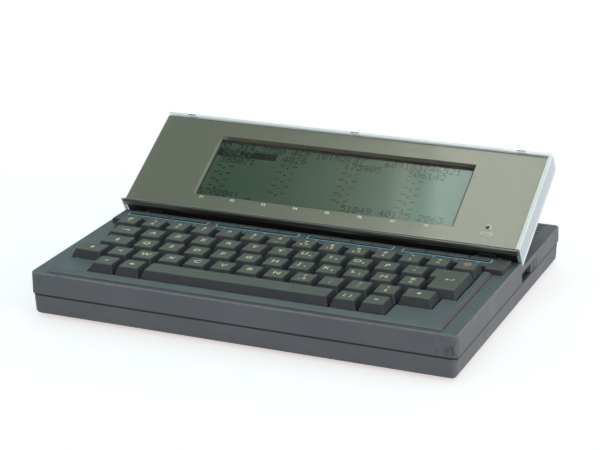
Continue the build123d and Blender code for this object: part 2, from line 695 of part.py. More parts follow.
def power_switch():
    """The sliding knob, at the back end of its pocket."""
    x = (HALF_WIDTH - POWER_SLOT_DEPTH + FIT, HALF_WIDTH - FIT)
    back = POWER_SLOT_Y[1] - FIT
    z = (POWER_SLOT_Z[0] + FIT, POWER_SLOT_Z[1] - FIT)
    knob = block(x, (back - POWER_KNOB_LENGTH, back), z)
    half_rib = POWER_RIB_WIDTH / 2
    first = back - POWER_KNOB_LENGTH / 2 - POWER_RIB_PITCH * (POWER_RIBS - 1) / 2
    rib_ys = [first + POWER_RIB_PITCH * i for i in range(POWER_RIBS)]
    grooves = [block((x[1] - POWER_RIB_DEPTH, x[1] + 1), (y - half_rib, y + half_rib), z) for y in rib_ys]
    return knob - union(grooves)


def side_openings():
    """The holes in the left side: the dial, the supply socket and the wand socket."""
    far = -HALF_WIDTH - 5
    near = -HALF_WIDTH + 2 * CASE_WALL
    z = rear_socket_z()
    dial = block(
        (far, near + DIAL_RADIUS),
        (DIAL_Y - DIAL_RADIUS - FIT, DIAL_Y + DIAL_RADIUS + FIT),
        (DIAL_Z - 2 * FIT, DIAL_Z + DIAL_THICKNESS + 2 * FIT),
    )
    jack = axle(JACK_OPENING_RADIUS, (far, near), JACK_Y, z)
    half = WAND_FLANGE_WIDTH / 2 + 2 * FIT
    flange_z = (z - D_FLANGE_HEIGHT / 2, z + D_FLANGE_HEIGHT / 2)
    wand = block((far, near), (WAND_Y - half, WAND_Y + half), flange_z)
    return dial + jack + wand


def rear_openings():
    """The holes in the back: the serial, printer and round sockets and the reset button."""
    y = (HALF_DEPTH - 2 * CASE_WALL, HALF_DEPTH + 5)
    z = rear_socket_z()
    half = SERIAL_FLANGE_WIDTH / 2 + 2 * FIT
    serial = block((SERIAL_X - half, SERIAL_X + half), y, (z - D_FLANGE_HEIGHT / 2, z + D_FLANGE_HEIGHT / 2))
    half = PRINTER_SIZE[0] / 2 + FIT
    bottom = MAIN_BOARD_TOP_Z
    printer = block((PRINTER_X - half, PRINTER_X + half), y, (bottom, bottom + PRINTER_SIZE[2] + FIT))
    half = ROUND_SOCKET_SIZE[0] / 2 + FIT
    z_round = (bottom, bottom + ROUND_SOCKET_SIZE[2] + FIT)
    rounds = [block((x - half, x + half), y, z_round) for x in ROUND_SOCKET_XS]
    reset = plug(RESET_RADIUS + FIT, RESET_X, y, z)
    return union([serial, printer, *rounds, reset])


def d_connector(shell_width, screw_pitch, flange_width):
    """A D-shaped socket that faces +Y with the middle of its flange at the origin."""
    shell_y = (-D_FLANGE_THICKNESS, D_SHELL_LENGTH)
    slant = D_SHELL_HEIGHT * math.tan(math.radians(D_SHELL_SLANT))
    top = shell_width / 2
    bottom = top - slant
    half_height = D_SHELL_HEIGHT / 2
    corners = [(-top, half_height), (top, half_height), (bottom, -half_height), (-bottom, -half_height)]
    outline = Plane.XZ * Polygon(*corners, align=None)
    shell = extrude(outline, amount=shell_y[1], dir=(0, 1, 0))
    corner_edges = [e for e in shell.edges() if abs(e.bounding_box().size.Y - shell_y[1]) < 0.01]
    shell = fillet(corner_edges, D_SHELL_ROUND)
    half_flange = flange_width / 2
    flange = block((-half_flange, half_flange), (shell_y[0], 0), (-D_FLANGE_HEIGHT / 2, D_FLANGE_HEIGHT / 2))
    holes = [plug(D_HOLE_RADIUS, side * screw_pitch / 2, (shell_y[0] - 1, 1), 0) for side in (-1, 1)]
    half_body = shell_width / 2 - 1
    body_z = (-D_FLANGE_HEIGHT / 2 - FIT, half_height)
    body = block((-half_body, half_body), (-D_BODY_DEPTH, shell_y[0]), body_z)
    return flange + shell + body - union(holes)


def serial_connector():
    """The twenty-five-way socket in the back."""
    y = HALF_DEPTH - D_RECESS - D_SHELL_LENGTH
    socket = d_connector(SERIAL_SHELL_WIDTH, SERIAL_SCREW_PITCH, SERIAL_FLANGE_WIDTH)
    return Pos(SERIAL_X, y, rear_socket_z()) * socket


def wand_connector():
    """The nine-way socket in the left side."""
    x = -HALF_WIDTH + D_RECESS + LOWER_INSET + D_SHELL_LENGTH
    socket = d_connector(WAND_SHELL_WIDTH, WAND_SCREW_PITCH, WAND_FLANGE_WIDTH)
    return Pos(x, WAND_Y, rear_socket_z()) * Rot(0, 0, 90) * socket


def printer_connector():
    """A two-row pin header in an open box that faces the back."""
    length, depth, height = PRINTER_SIZE
    back = HALF_DEPTH - D_RECESS
    wall = PRINTER_WALL
    low = MAIN_BOARD_TOP_Z
    x = (PRINTER_X - length / 2, PRINTER_X + length / 2)
    box = block(x, (back - depth, back), (low, low + height))
    room_z = (low + wall, low + height - wall)
    room = block((x[0] + wall, x[1] - wall), (back - depth + 3 * wall, back), room_z)
    pins = []
    for column_index in range(PRINTER_PINS):
        for row in (-0.5, 0.5):
            pin_x = PRINTER_X + PRINTER_PIN_PITCH * (column_index - (PRINTER_PINS - 1) / 2)
            pin_z = low + height / 2 + PRINTER_PIN_PITCH * row
            half = PRINTER_PIN_SIDE / 2
            y = (back - depth + 2 * wall, back - 2 * wall)
            pins.append(block((pin_x - half, pin_x + half), y, (pin_z - half, pin_z + half)))
    return union([box - room, *pins])


def round_socket(x):
    """A round multi-way socket that faces the back."""
    width, depth, height = ROUND_SOCKET_SIZE
    back = HALF_DEPTH - D_RECESS
    low = MAIN_BOARD_TOP_Z
    z = low + height / 2
    body = block((x - width / 2, x + width / 2), (back - depth, back), (low, low + height))
    ring = plug(ROUND_SOCKET_RADIUS, x, (back - ROUND_SOCKET_DEPTH, back), z)
    core = plug(ROUND_CORE_RADIUS, x, (back - ROUND_SOCKET_DEPTH, back - 1.0), z)
    return body - (ring - core)


def dc_jack():
    """The supply socket in the left side: a round mouth with a centre pin."""
    depth, width, height = JACK_SIZE
    mouth = -HALF_WIDTH + LOWER_INSET + CASE_WALL + FIT + 1.0
    low = MAIN_BOARD_TOP_Z
    z = rear_socket_z()
    body = block((mouth, mouth + depth), (JACK_Y - width / 2, JACK_Y + width / 2), (low, z + height / 2))
    bore = axle(JACK_RADIUS, (mouth, mouth + JACK_DEPTH), JACK_Y, z)
    return body - bore + axle(JACK_PIN_RADIUS, (mouth + 1.0, mouth + JACK_DEPTH), JACK_Y, z)


def case_bosses(z, radius):
    return [column(radius, x, y, z) for x, y in BOSS_PLACES]


def hinge_slots():
    """The slots in the rear deck that the hinge ears come up through."""
    half_x = EAR_WIDTH / 2 + EAR_SLOT_GAP
    half_y = EAR_RADIUS + EAR_SLOT_GAP
    z = (REAR_UNDER_Z - 1, REAR_DECK_Z + 1)
    return [block((x - half_x, x + half_x), (HINGE_Y - half_y, HINGE_Y + half_y), z) for x in HINGE_XS]


def vents():
    """Five rows of slots in the rear deck, near its right and left ends."""
    z = (REAR_UNDER_Z - 1, REAR_DECK_Z + 1)
    slots = []
    for y in VENT_YS:
        for side in (-1, 1):
            ends = sorted((side * VENT_HALF_SPAN, side * (VENT_HALF_SPAN - VENT_LENGTH)))
            slots.append(block(ends, (y - VENT_WIDTH / 2, y + VENT_WIDTH / 2), z))
    return slots


def plateau():
    """The raised field round the keyboard, with a long bevel in front."""
    foot_y = (PLATEAU_FRONT_Y, STRIP_FRONT_Y - FIT)
    top_y = (PLATEAU_FRONT_Y + PLATEAU_FRONT_BEVEL, STRIP_FRONT_Y - FIT)
    foot = (PLATEAU_HALF_WIDTH, foot_y, DECK_Z)
    top = (PLATEAU_HALF_WIDTH - PLATEAU_SIDE_BEVEL, top_y, DECK_Z + PLATEAU_HEIGHT)
    sections = []
    for half_x, (y0, y1), z in (foot, top):
        sections.append(Pos(0, (y0 + y1) / 2, z) * Rectangle(2 * half_x, y1 - y0))
    return loft(sections, ruled=True)


def plateau_groove():
    """The fine groove along the plateau's foot, in front and at both sides."""
    z = (DECK_Z - PLATEAU_GROOVE, DECK_Z + PLATEAU_GROOVE)
    outer = PLATEAU_HALF_WIDTH + PLATEAU_GROOVE
    y = (PLATEAU_FRONT_Y - PLATEAU_GROOVE, STRIP_FRONT_Y - FIT)
    front = block((-outer, outer), (y[0], PLATEAU_FRONT_Y), z)
    sides = [block(sorted((s * PLATEAU_HALF_WIDTH, s * outer)), y, z) for s in (-1, 1)]
    return union([front, *sides])


def upper_shell():
    """The upper case's walls and decks, with the step down behind the function keys."""
    height = DECK_Z - SEAM_Z
    outer = rounded_slab(HALF_WIDTH, HALF_DEPTH, CASE_CORNER, SEAM_Z, height, UPPER_DRAFT)
    far = HALF_WIDTH + 10
    outer -= block((-far, far), (STEP_Y, HALF_DEPTH + 10), (REAR_DECK_Z, DECK_Z + 10))
    step_foot = [e for e in edges_at(outer, REAR_DECK_Z) if e.bounding_box().max.Y < STEP_Y + 0.01]
    rim = [e for e in edges_at(outer, DECK_Z) + edges_at(outer, REAR_DECK_Z) if e not in step_foot]
    outer = fillet(rim, DECK_ROUND)
    wall = CASE_WALL
    inner = rounded_slab(
        HALF_WIDTH - wall, HALF_DEPTH - wall, CASE_CORNER - wall / 2, SEAM_Z, height - wall, UPPER_DRAFT
    )
    inner -= block((-far, far), (STEP_Y - wall, HALF_DEPTH + 10), (REAR_UNDER_Z, DECK_Z + 10))
    return outer - inner


def seam_groove():
    """The shadow line round the seam, cut into the foot of the upper case."""
    far = HALF_WIDTH + 10
    ring = block((-far, far), (-far, far), (SEAM_Z, SEAM_Z + SEAM_GROOVE))
    inset = SEAM_GROOVE + LOWER_INSET
    core = rounded_slab(HALF_WIDTH - inset, HALF_DEPTH - inset, CASE_CORNER, SEAM_Z - 1, 5, 0)
    return ring - core


def upper_case():
    """The upper half: decks, plateau, key opening, bosses, vents and the power switch's pocket."""
    shell = union([upper_shell(), plateau()])
    bosses = case_bosses((SEAM_Z, DECK_UNDER_Z + CASE_WALL / 4), BOSS_RADIUS)
    shell = shell.fuse(*[boss & upper_room() for boss in bosses])
    shell = shell.fuse(power_pocket(POWER_POCKET_WALL, HALF_WIDTH - CASE_WALL / 2))
    half_group = FUNCTION_PITCH * FUNCTION_KEYS_PER_GROUP / 2
    function_slot = block(
        (function_group_centres()[0] - half_group, function_group_centres()[-1] + half_group),
        (STRIP_OPENING_Y, FUNCTION_BACK_Y + FIT),
        (DECK_UNDER_Z - 1, DECK_Z + 1),
    )
    pilot_holes = case_bosses((SEAM_Z - 1, SCREW_TIP_Z + FIT), SCREW_RADIUS + PIN_FIT)
    cuts = [
        key_opening((DECK_UNDER_Z - 1, DECK_Z + PLATEAU_HEIGHT + 1)),
        function_slot,
        plateau_groove(),
        seam_groove(),
        power_pocket(0, HALF_WIDTH + 1),
        side_openings(),
        rear_openings(),
        *pilot_holes,
        *vents(),
        *hinge_slots(),
    ]
    return shell.cut(*cuts)


def upper_room():
    """The space that the upper case's inner bosses may fill, up to the underside of its decks."""
    half_x = HALF_WIDTH - CASE_WALL / 2
    half_y = HALF_DEPTH - CASE_WALL / 2
    front = block((-half_x, half_x), (-half_y, STEP_Y), (SEAM_Z, DECK_Z - CASE_WALL / 2))
    rear = block((-half_x, half_x), (STEP_Y, half_y), (SEAM_Z, REAR_DECK_Z - CASE_WALL / 2))
    return front + rear


def function_strip():
    """The raised strip of the function keys, open below, and in front where the keys stand."""
    low = DECK_Z
    x = (-STRIP_HALF_WIDTH, STRIP_HALF_WIDTH)
    outer = block(x, (STRIP_FRONT_Y, STRIP_BACK_Y), (low, STRIP_TOP_Z))
    outer = fillet(edges_at(outer, STRIP_TOP_Z), STRIP_ROUND)
    wall = STRIP_WALL
    room_y = (STRIP_OPENING_Y - 1, STRIP_BACK_Y - wall)
    room = block((x[0] + wall, x[1] - wall), room_y, (low, STRIP_TOP_Z - wall))
    strip = outer - room - key_opening((low - 1, STRIP_TOP_Z + 1))
    half_x = FUNCTION_PITCH * FUNCTION_KEYS_PER_GROUP / 2 + FIT
    y = (STRIP_OPENING_Y, FUNCTION_BACK_Y + FIT)
    windows = [block((c - half_x, c + half_x), y, (low, STRIP_TOP_Z + 1)) for c in function_group_centres()]
    return strip - union(windows)


def lower_shell():
    """The tray of the lower case."""
    height = SEAM_Z - CASE_BOTTOM_Z
    half_x = HALF_WIDTH - LOWER_INSET
    half_y = HALF_DEPTH - LOWER_INSET
    outer = rounded_slab(half_x, half_y, CASE_CORNER, SEAM_Z, -height, LOWER_DRAFT)
    outer = fillet(edges_at(outer, CASE_BOTTOM_Z), BASE_ROUND)
    wall = CASE_WALL
    inner = rounded_slab(
        half_x - wall, half_y - wall, CASE_CORNER - wall / 2, SEAM_Z, wall - height, LOWER_DRAFT
    )
    return outer - inner


def option_box(grow, z):
    """The outline of the chip cover under the case, grown by a lip."""
    x, y = OPTION_CENTRE
    half_x = OPTION_SIZE[0] / 2 + grow
    half_y = OPTION_SIZE[1] / 2 + grow
    return block((x - half_x, x + half_x), (y - half_y, y + half_y), z)


def door_box(grow, z, extra=0.0):
    """The battery door's outline, grown by a clearance and lengthened towards -X for its travel."""
    x, y = BAY_CENTRE
    half_x = BAY_HALF_X + DOOR_LIP + grow
    half_y = BAY_HALF_Y + DOOR_LIP + grow
    return block((x - half_x - extra, x + half_x), (y - half_y, y + half_y), z)


def lower_case():
    """The lower half: tray, bosses, standoffs, battery bay and the recesses under it."""
    floor = FLOOR_Z - CASE_WALL / 2
    solids = [lower_shell()]
    solids += case_bosses((floor, SEAM_Z), BOSS_RADIUS)
    standoff_z = (floor, MAIN_BOARD_Z)
    solids += [column(STANDOFF_RADIUS, x, y, standoff_z) for x in STANDOFF_XS for y in STANDOFF_YS]
    for side in (-1, 1):
        for y in PLATE_BOSS_YS:
            solids.append(column(PLATE_BOSS_RADIUS, side * PLATE_BOSS_X, y, (floor, PLATE_UNDER_Z)))
    solids.append(bay_box(BAY_WALL, (floor, BAY_TOP_Z)))
    tray = union(solids)
    recess = (CASE_BOTTOM_Z - 1, CASE_BOTTOM_Z + DOOR_THICKNESS + FIT)
    foot_z = (CASE_BOTTOM_Z - 1, CASE_BOTTOM_Z + FOOT_RECESS)
    cuts = [
        bay_box(0, (CASE_BOTTOM_Z - 1, BAY_TOP_Z + 1)),
        door_box(FIT, recess, DOOR_TRAVEL + FIT),
        option_box(-OPTION_LIP, (CASE_BOTTOM_Z - 1, FLOOR_Z + 1)),
        option_box(FIT, (CASE_BOTTOM_Z - 1, CASE_BOTTOM_Z + OPTION_THICKNESS)),
        side_openings(),
        rear_openings(),
        *case_bosses((SCREW_SEAT_Z - 1, SEAM_Z + 1), SCREW_RADIUS + SCREW_CLEARANCE),
        *case_bosses((CASE_BOTTOM_Z - 1, SCREW_SEAT_Z), SCREW_HEAD_RADIUS + FIT),
        *[column(FOOT_RADIUS + FIT / 2, x, y, foot_z) for x, y in FOOT_PLACES],
    ]
    return tray.cut(*cuts)


def battery_door():
    """The sliding door of the battery bay, with a row of grip grooves."""
    z = (CASE_BOTTOM_Z, CASE_BOTTOM_Z + DOOR_THICKNESS)
    door = door_box(0, z)
    x, y = BAY_CENTRE
    groove_y = (y - GRIP_LENGTH / 2, y + GRIP_LENGTH / 2)
    groove_z = (z[0] - 1, z[0] + GRIP_DEPTH)
    first = x + BAY_HALF_X + DOOR_LIP - 2 * GRIP_PITCH
    lefts = [first - GRIP_PITCH * i for i in range(GRIP_GROOVES)]
    grooves = [block((left, left + GRIP_WIDTH), groove_y, groove_z) for left in lefts]
    return door - union(grooves)


def option_cover():
    z = (CASE_BOTTOM_Z, CASE_BOTTOM_Z + OPTION_THICKNESS)
    return option_box(0, z)


def cell_places():
    """The left end, the middle and the direction of each cell."""
    x, y = BAY_CENTRE
    span = CELL_LENGTH + CELL_NUB_LENGTH
    offset = CELL_RADIUS + CELL_GAP / 2
    return [
        (x - span + column_index * (span + CELL_GAP) - CELL_GAP / 2, y + side * offset, side)
        for side in (-1, 1)
        for column_index in (0, 1)
    ]


def batteries():
    """Four cells, the two rows facing opposite ways."""
    cells = []
    span = CELL_LENGTH + CELL_NUB_LENGTH
    for left, y, side in cell_places():
        body_left = left if side > 0 else left + CELL_NUB_LENGTH
        nub = (left + CELL_LENGTH, left + span) if side > 0 else (left, left + CELL_NUB_LENGTH)
        can = axle(CELL_RADIUS, (body_left, body_left + CELL_LENGTH), y, CELL_Z)
        cells.append(can + axle(CELL_NUB_RADIUS, nub, y, CELL_Z))
    return cells


def battery_contacts():
    """A bent strip at each end of the bay, which joins the two rows."""
    x, y = BAY_CENTRE
    half_y = BAY_HALF_Y - BAY_CLEARANCE
    z = (FLOOR_Z + FIT, CELL_Z + CELL_RADIUS)
    strips = []
    for side in (-1, 1):
        ends = sorted((x + side * BAY_HALF_X, x + side * (BAY_HALF_X - CONTACT_THICKNESS)))
        strips.append(block(ends, (y - half_y, y + half_y), z))
    return strips


def rubber_feet():
    z = (0, CASE_BOTTOM_Z + FOOT_RECESS)
    foot = column(FOOT_RADIUS, 0, 0, z)
    foot = fillet(edges_at(foot, 0), FOOT_ROUND)
    return [Pos(x, y, 0) * foot for x, y in FOOT_PLACES]


def case_screws():
    """The screws from below, each with a cross slot in its head."""
    head = column(SCREW_HEAD_RADIUS, 0, 0, (SCREW_SEAT_Z - SCREW_HEAD_HEIGHT, SCREW_SEAT_Z))
    slot = (SCREW_SEAT_Z - SCREW_HEAD_HEIGHT, SCREW_SEAT_Z - SCREW_HEAD_HEIGHT / 2)
    arm = (-SCREW_SLOT_REACH, SCREW_SLOT_REACH)
    width = (-SCREW_SLOT_WIDTH / 2, SCREW_SLOT_WIDTH / 2)
    head -= block(arm, width, slot)
    head -= block(width, arm, slot)
    screw = head + column(SCREW_RADIUS, 0, 0, (SCREW_SEAT_Z, SCREW_TIP_Z))
    return [Pos(x, y, 0) * screw for x, y in BOSS_PLACES]


def hinge_brackets():
    """A steel ear for each hinge, on a foot under the rear deck."""
    ears = []
    for x in HINGE_XS:
        half = EAR_WIDTH / 2
        span = (x - half, x + half)
        foot_x, foot_y, foot_z = EAR_FOOT
        post_y = (HINGE_Y - EAR_RADIUS, HINGE_Y + EAR_RADIUS)
        post = block(span, post_y, (REAR_UNDER_Z - foot_z, HINGE_Z))
        eye = axle(EAR_RADIUS, span, HINGE_Y, HINGE_Z)
        foot = block(
            (x - foot_x / 2, x + foot_x / 2),
            (HINGE_Y - EAR_RADIUS, HINGE_Y - EAR_RADIUS + foot_y),
            (REAR_UNDER_Z - foot_z, REAR_UNDER_Z),
        )
        ears.append(union([post, eye, foot]) - axle(PIN_RADIUS + PIN_FIT, span, HINGE_Y, HINGE_Z))
    return ears


def hinge_pins():
    spans = [(x - PIN_LENGTH / 2, x + PIN_LENGTH / 2) for x in HINGE_XS]
    return [axle(PIN_RADIUS, span, HINGE_Y, HINGE_Z) for span in spans]


def display_back():
    """The black tray behind the display, notched at its lower back corner for the hinge ears."""
    half = PANEL_HALF_WIDTH
    x = (-half, half)
    t = (0, PANEL_LENGTH + PANEL_EDGE)
    n = (-DISPLAY_THICKNESS, -PANEL_THICKNESS)
    outer = block(x, t, n)
    outer = fillet(edges_at(outer, n[0]), BACK_ROUND)
    wall = BACK_WALL
    room = block((x[0] + wall, x[1] - wall), (t[0] + wall, t[1] - wall), (n[0] + wall, n[1] + 1))
    tray = outer - room
    lumps, notches, bores = [], [], []
    for centre in HINGE_XS:
        reach = (centre - PIN_LENGTH / 2, centre + PIN_LENGTH / 2)
        lump_t = (wall / 2, HINGE_T + HINGE_INSET)
        lump_n = (n[0] + wall / 2, HINGE_N + HINGE_INSET)
        lumps.append(block((reach[0] - wall, reach[1] + wall), lump_t, lump_n))
        notch = (centre - NOTCH_WIDTH / 2, centre + NOTCH_WIDTH / 2)
        reach_t = NOTCH_REACH + wall
        lumps.append(block((notch[0] - wall, notch[1] + wall), (0, reach_t), (n[0], n[0] + reach_t)))
        notches.append(block(notch, (-1, NOTCH_REACH), (n[0] - 1, n[0] + NOTCH_REACH)))
        bores.append(axle(PIN_RADIUS + PIN_FIT, reach, HINGE_T, HINGE_N))
    tray = tray.fuse(*lumps).cut(*notches, *bores)
    tabs = []
    for centre in CATCH_XS:
        half_width = CATCH_WIDTH / 2 - FIT
        tab_n = (-CATCH_DOWN - CATCH_HEIGHT + FIT, -CATCH_DOWN - FIT)
        tab_t = (t[1] - wall / 2, t[1] + CATCH_DEPTH)
        tabs.append(block((centre - half_width, centre + half_width), tab_t, tab_n))
    return DISPLAY_PLACE * tray.fuse(*tabs)


def window_opening(z, grow=0.0):
    """The display window between two levels, grown outwards."""
    half = WINDOW_WIDTH / 2 + grow
    x = (WINDOW_CENTRE - half, WINDOW_CENTRE + half)
    return block(x, (WINDOW_BOTTOM - grow, WINDOW_TOP + grow), z)


def window_funnel():
    """The window's opening, slightly narrower at its foot than at the panel's face."""
    middle = (WINDOW_BOTTOM + WINDOW_TOP) / 2
    height = WINDOW_TOP - WINDOW_BOTTOM
    sections = []
    for inset, n in ((WINDOW_BEVEL, -WINDOW_DEPTH), (0, 0)):
        size = (WINDOW_WIDTH - 2 * inset, height - 2 * inset)
        sections.append(Pos(WINDOW_CENTRE, middle, n) * Rectangle(*size))
    return loft(sections, ruled=True)


def display_panel():
    """The metal front panel, drawn down round the window."""
    half = PANEL_HALF_WIDTH - PANEL_EDGE
    sheet = block((-half, half), (PANEL_EDGE, PANEL_LENGTH), (-PANEL_THICKNESS, 0))
    rim = window_opening((-WINDOW_DEPTH, -PANEL_THICKNESS / 2), WINDOW_RIM)
    hole = Pos(*LED_PLACE, 0) * Cylinder(LED_RADIUS + FIT, 4 * PANEL_THICKNESS)
    return DISPLAY_PLACE * (sheet + rim - window_funnel() - hole)


def display_cover():
    """The clear cover: a front sheet with side walls and a top wall, slotted for the catches."""
    half = DISPLAY_HALF_WIDTH
    x = (-half, half)
    t = (-COVER_LIP, DISPLAY_LENGTH)
    n = (-DISPLAY_THICKNESS, COVER_SHEET)
    outer = block(x, t, n)
    outer = fillet(edges_at(outer, n[1]), COVER_ROUND)
    side = COVER_SIDE
    room = block((x[0] + side, x[1] - side), (t[0] - 1, t[1] - side), (n[0] - 1, FIT / 3))
    cover = outer - room
    slots = []
    for centre in CATCH_XS:
        ends = (centre - CATCH_WIDTH / 2, centre + CATCH_WIDTH / 2)
        slots.append(block(ends, (t[1] - side - 1, t[1] + 1), (-CATCH_DOWN - CATCH_HEIGHT, -CATCH_DOWN)))
    return DISPLAY_PLACE * cover.cut(*slots)


def lcd_glass():
    """The liquid crystal cell: two sheets of glass."""
    n = (-WINDOW_DEPTH - GLASS_THICKNESS, -WINDOW_DEPTH)
    return DISPLAY_PLACE * window_opening(n, GLASS_OVERLAP)


def lcd_frame():
    """The metal frame round the edge of the glass, which presses it on the board."""
    low = -WINDOW_DEPTH - LCD_FRAME_HEIGHT
    ring = window_opening((low, -WINDOW_DEPTH), GLASS_OVERLAP + LCD_FRAME_WALL)
    return DISPLAY_PLACE * (ring - window_opening((low - 1, 0), GLASS_OVERLAP + FIT / 3))


def lcd_board():
    """The display's circuit board: driver chips on its back, a rubber contact strip on its face."""
    top = -WINDOW_DEPTH - LCD_FRAME_HEIGHT
    low = top - BOARD_THICKNESS
    board = window_opening((low, top), GLASS_OVERLAP + LCD_BOARD_MARGIN)
    length, width, height = LCD_CHIP_SIZE
    pitch = WINDOW_WIDTH / LCD_CHIPS_ACROSS
    chips = []
    for column_index in range(LCD_CHIPS_ACROSS):
        x = WINDOW_CENTRE + pitch * (column_index - (LCD_CHIPS_ACROSS - 1) / 2)
        for t in (WINDOW_BOTTOM + LCD_CHIP_INSET, WINDOW_TOP - LCD_CHIP_INSET):
            x_span = (x - length / 2, x + length / 2)
            chips.append(block(x_span, (t - width / 2, t + width / 2), (low - height, low)))
    outer = window_opening((top, -WINDOW_DEPTH - GLASS_THICKNESS), GLASS_OVERLAP - RUBBER_EDGE)
    rubber = outer - window_opening((top - 1, 0), GLASS_OVERLAP - RUBBER_EDGE - RUBBER_WIDTH)
    s, t = LED_PLACE
    arm_t = (t - LED_ARM / 2, t + LED_ARM / 2)
    arm = block((WINDOW_CENTRE + WINDOW_WIDTH / 2, s + LED_ARM / 2), arm_t, (low, top))
    half_post = LED_POST / 2
    post = block((s - half_post, s + half_post), (t - half_post, t + half_post), (low, -LED_LENGTH - FIT / 3))
    return DISPLAY_PLACE * union([board, *chips, rubber, arm, post])


def battery_led():
    """The low-battery lamp behind its hole in the panel."""
    lamp = column(LED_RADIUS, *LED_PLACE, (-LED_LENGTH, -FIT))
    return DISPLAY_PLACE * fillet(edges_at(lamp, -FIT), LED_ROUND)


def nodes():
    """Every sub-part by name, each as a list of solids."""
    parts = {
        "lower_case": [lower_case()],
        "upper_case": [upper_case()],
        "function_strip": [function_strip()],
        "main_board": [main_board()],
        "board_parts": board_parts(),
        "keyboard_plate": [keyboard_plate()],
        "keyboard_board": [keyboard_board()],
        "key_switches": key_switches(),
        "function_switches": function_switches(),
        "battery_door": [battery_door()],
        "batteries": batteries(),
        "battery_contacts": battery_contacts(),
        "option_cover": [option_cover()],
        "rubber_feet": rubber_feet(),
        "case_screws": case_screws(),
        "backup_battery": [backup_battery()],
        "serial_connector": [serial_connector()],
        "wand_connector": [wand_connector()],
        "printer_connector": [printer_connector()],
        "round_sockets": [round_socket(x) for x in ROUND_SOCKET_XS],
        "dc_jack": [dc_jack()],
        "power_switch": [power_switch()],
        "contrast_dial": [contrast_dial()],
        "reset_button": [reset_button()],
        "hinge_brackets": hinge_brackets(),
        "hinge_pins": hinge_pins(),
        "display_back": [display_back()],
        "display_panel": [display_panel()],
        "display_cover": [display_cover()],
        "lcd_glass": [lcd_glass()],
        "lcd_frame": [lcd_frame()],
        "lcd_board": [lcd_board()],
        "battery_led": [battery_led()],
        "key_enter": [enter_key()],
    }
    for name, row, left, right in LONG_KEYS:
        maker = space_key if name == "key_space" else long_key
        parts[name] = [maker(row, left, right)]
    for row in range(len(ROW_SQUARES)):
        parts[f"keys_row_{row + 1}"] = key_row(row)
    for number, x in enumerate(function_key_centres(), start=1):
        parts[f"function_key_{number:02d}"] = [function_key(x)]
    return parts


def write_parts():
    """One STEP file for each sub-part."""
    os.makedirs("parts", exist_ok=True)
    for name, solids in nodes().items():
        pieces = [solid for shape in solids for solid in shape.solids()]
        shape = pieces[0] if len(pieces) == 1 else Compound(children=pieces)
        export_step(shape, f"parts/{name}.step")


write_parts()
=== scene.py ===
"""Looks of a portable computer with a tilting LCD panel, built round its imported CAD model."""
import math

import bpy
from mathutils import Matrix, Vector


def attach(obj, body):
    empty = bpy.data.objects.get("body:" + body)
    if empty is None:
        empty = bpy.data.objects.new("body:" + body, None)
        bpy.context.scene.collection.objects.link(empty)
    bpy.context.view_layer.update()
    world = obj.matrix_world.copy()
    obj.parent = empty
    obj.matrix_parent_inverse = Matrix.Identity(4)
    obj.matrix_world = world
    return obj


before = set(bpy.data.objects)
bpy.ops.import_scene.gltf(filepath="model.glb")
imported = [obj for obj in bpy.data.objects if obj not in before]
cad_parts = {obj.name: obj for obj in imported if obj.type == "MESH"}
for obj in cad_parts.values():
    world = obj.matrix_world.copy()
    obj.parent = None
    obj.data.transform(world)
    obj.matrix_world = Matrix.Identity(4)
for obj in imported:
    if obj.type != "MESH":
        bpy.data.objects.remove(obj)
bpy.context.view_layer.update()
MM = 0.001

# The camera, solved from the photograph: degrees, and millimetres in the part's frame
CAMERA_AZIMUTH = 23.81
CAMERA_ELEVATION = 19.85
CAMERA_ROLL = -1.01
CAMERA_DISTANCE = 1315.4
CAMERA_LOOK_AT = (-25.2, 52.4, 25.1)
CAMERA_LENS = 111.11
SENSOR_WIDTH = 36.0

# The keyboard, millimetres
KEY_PITCH = 19.0
FIRST_KEY_X = -125.7
FRONT_ROW_Y = -90.0
KEY_TOP_Z = 38.7
KEY_TOP_SHIFT = 0.4
INK = 0.06
LETTER_SIZE = 6.0
DIGIT_SIZE = 4.9
SMALL_SIZE = 3.2
SECOND_SIZE = 4.1
LETTER_STRETCH = 1.15
STROKE_GROWTH = 0.021
PAD_LETTER_SHIFT = (-2.0, 0.8)
PAD_DIGIT_SHIFT = (2.6, -1.6)
UPPER_SHIFT = (0.0, 2.3)
LOWER_SHIFT = (0.0, -2.4)

# The strip round the bar keys, millimetres
STRIP_TOP_Z = 35.5
BAR_GROUP_CENTRE_X = -2.4
BAR_GROUP_PITCH = 68.9
BAR_GROUPS = 4
BARS_PER_GROUP = 4
BAR_PITCH = 15.3
BRACKET_HALF_WIDTH = 31.2
BRACKET_FRONT_Y = 3.1
BRACKET_BACK_Y = 9.6
BRACKET_LINE = 0.8
BAR_NUMBER_SIZE = 2.2
BAR_NUMBER_Y = 1.4

# The display panel: its frame in the part's frame, and places on it in millimetres
PANEL_ORIGIN = (0.0, 15.4, 41.9)
PANEL_TILT = 30.3
PANEL_TOP = 83.8
WINDOW_CENTRE = 0.5
WINDOW_WIDTH = 194.6
WINDOW_BOTTOM = 13.2
WINDOW_TOP = 69.7
GLASS_FACE = -3.6
PANEL_FACE_END = 145.3
CATCHES = (-126.5, 2.5, 125.5)
PRINT_LIFT = 0.02
# The black frame in the window: its fit, and its widths at the ends and at left and right, wide enough to
# paint the shadow at the foot of the window's walls.
GASKET_FIT = 0.1
GASKET_SIDE = 2.0
GASKET_END = 2.9
LABELS = 8
LABEL_SIZE = 3.0
LABEL_HEIGHT = 10.9
FIRST_LABEL = -88.7
LABEL_PITCH = 24.01
LED_PLACE = (121.8, 16.2)
CELL_SYMBOL_DROP = 5.6
RING_RADIUS = 1.75
RING_HALF_THICKNESS = 0.34
RING_OPENING = -0.3
LOWER_EDGE_BOX = ((-145.9, -2.4, -3.4), (147.6, -0.62, 1.5))
LOWER_EDGE_ROUND = 0.7

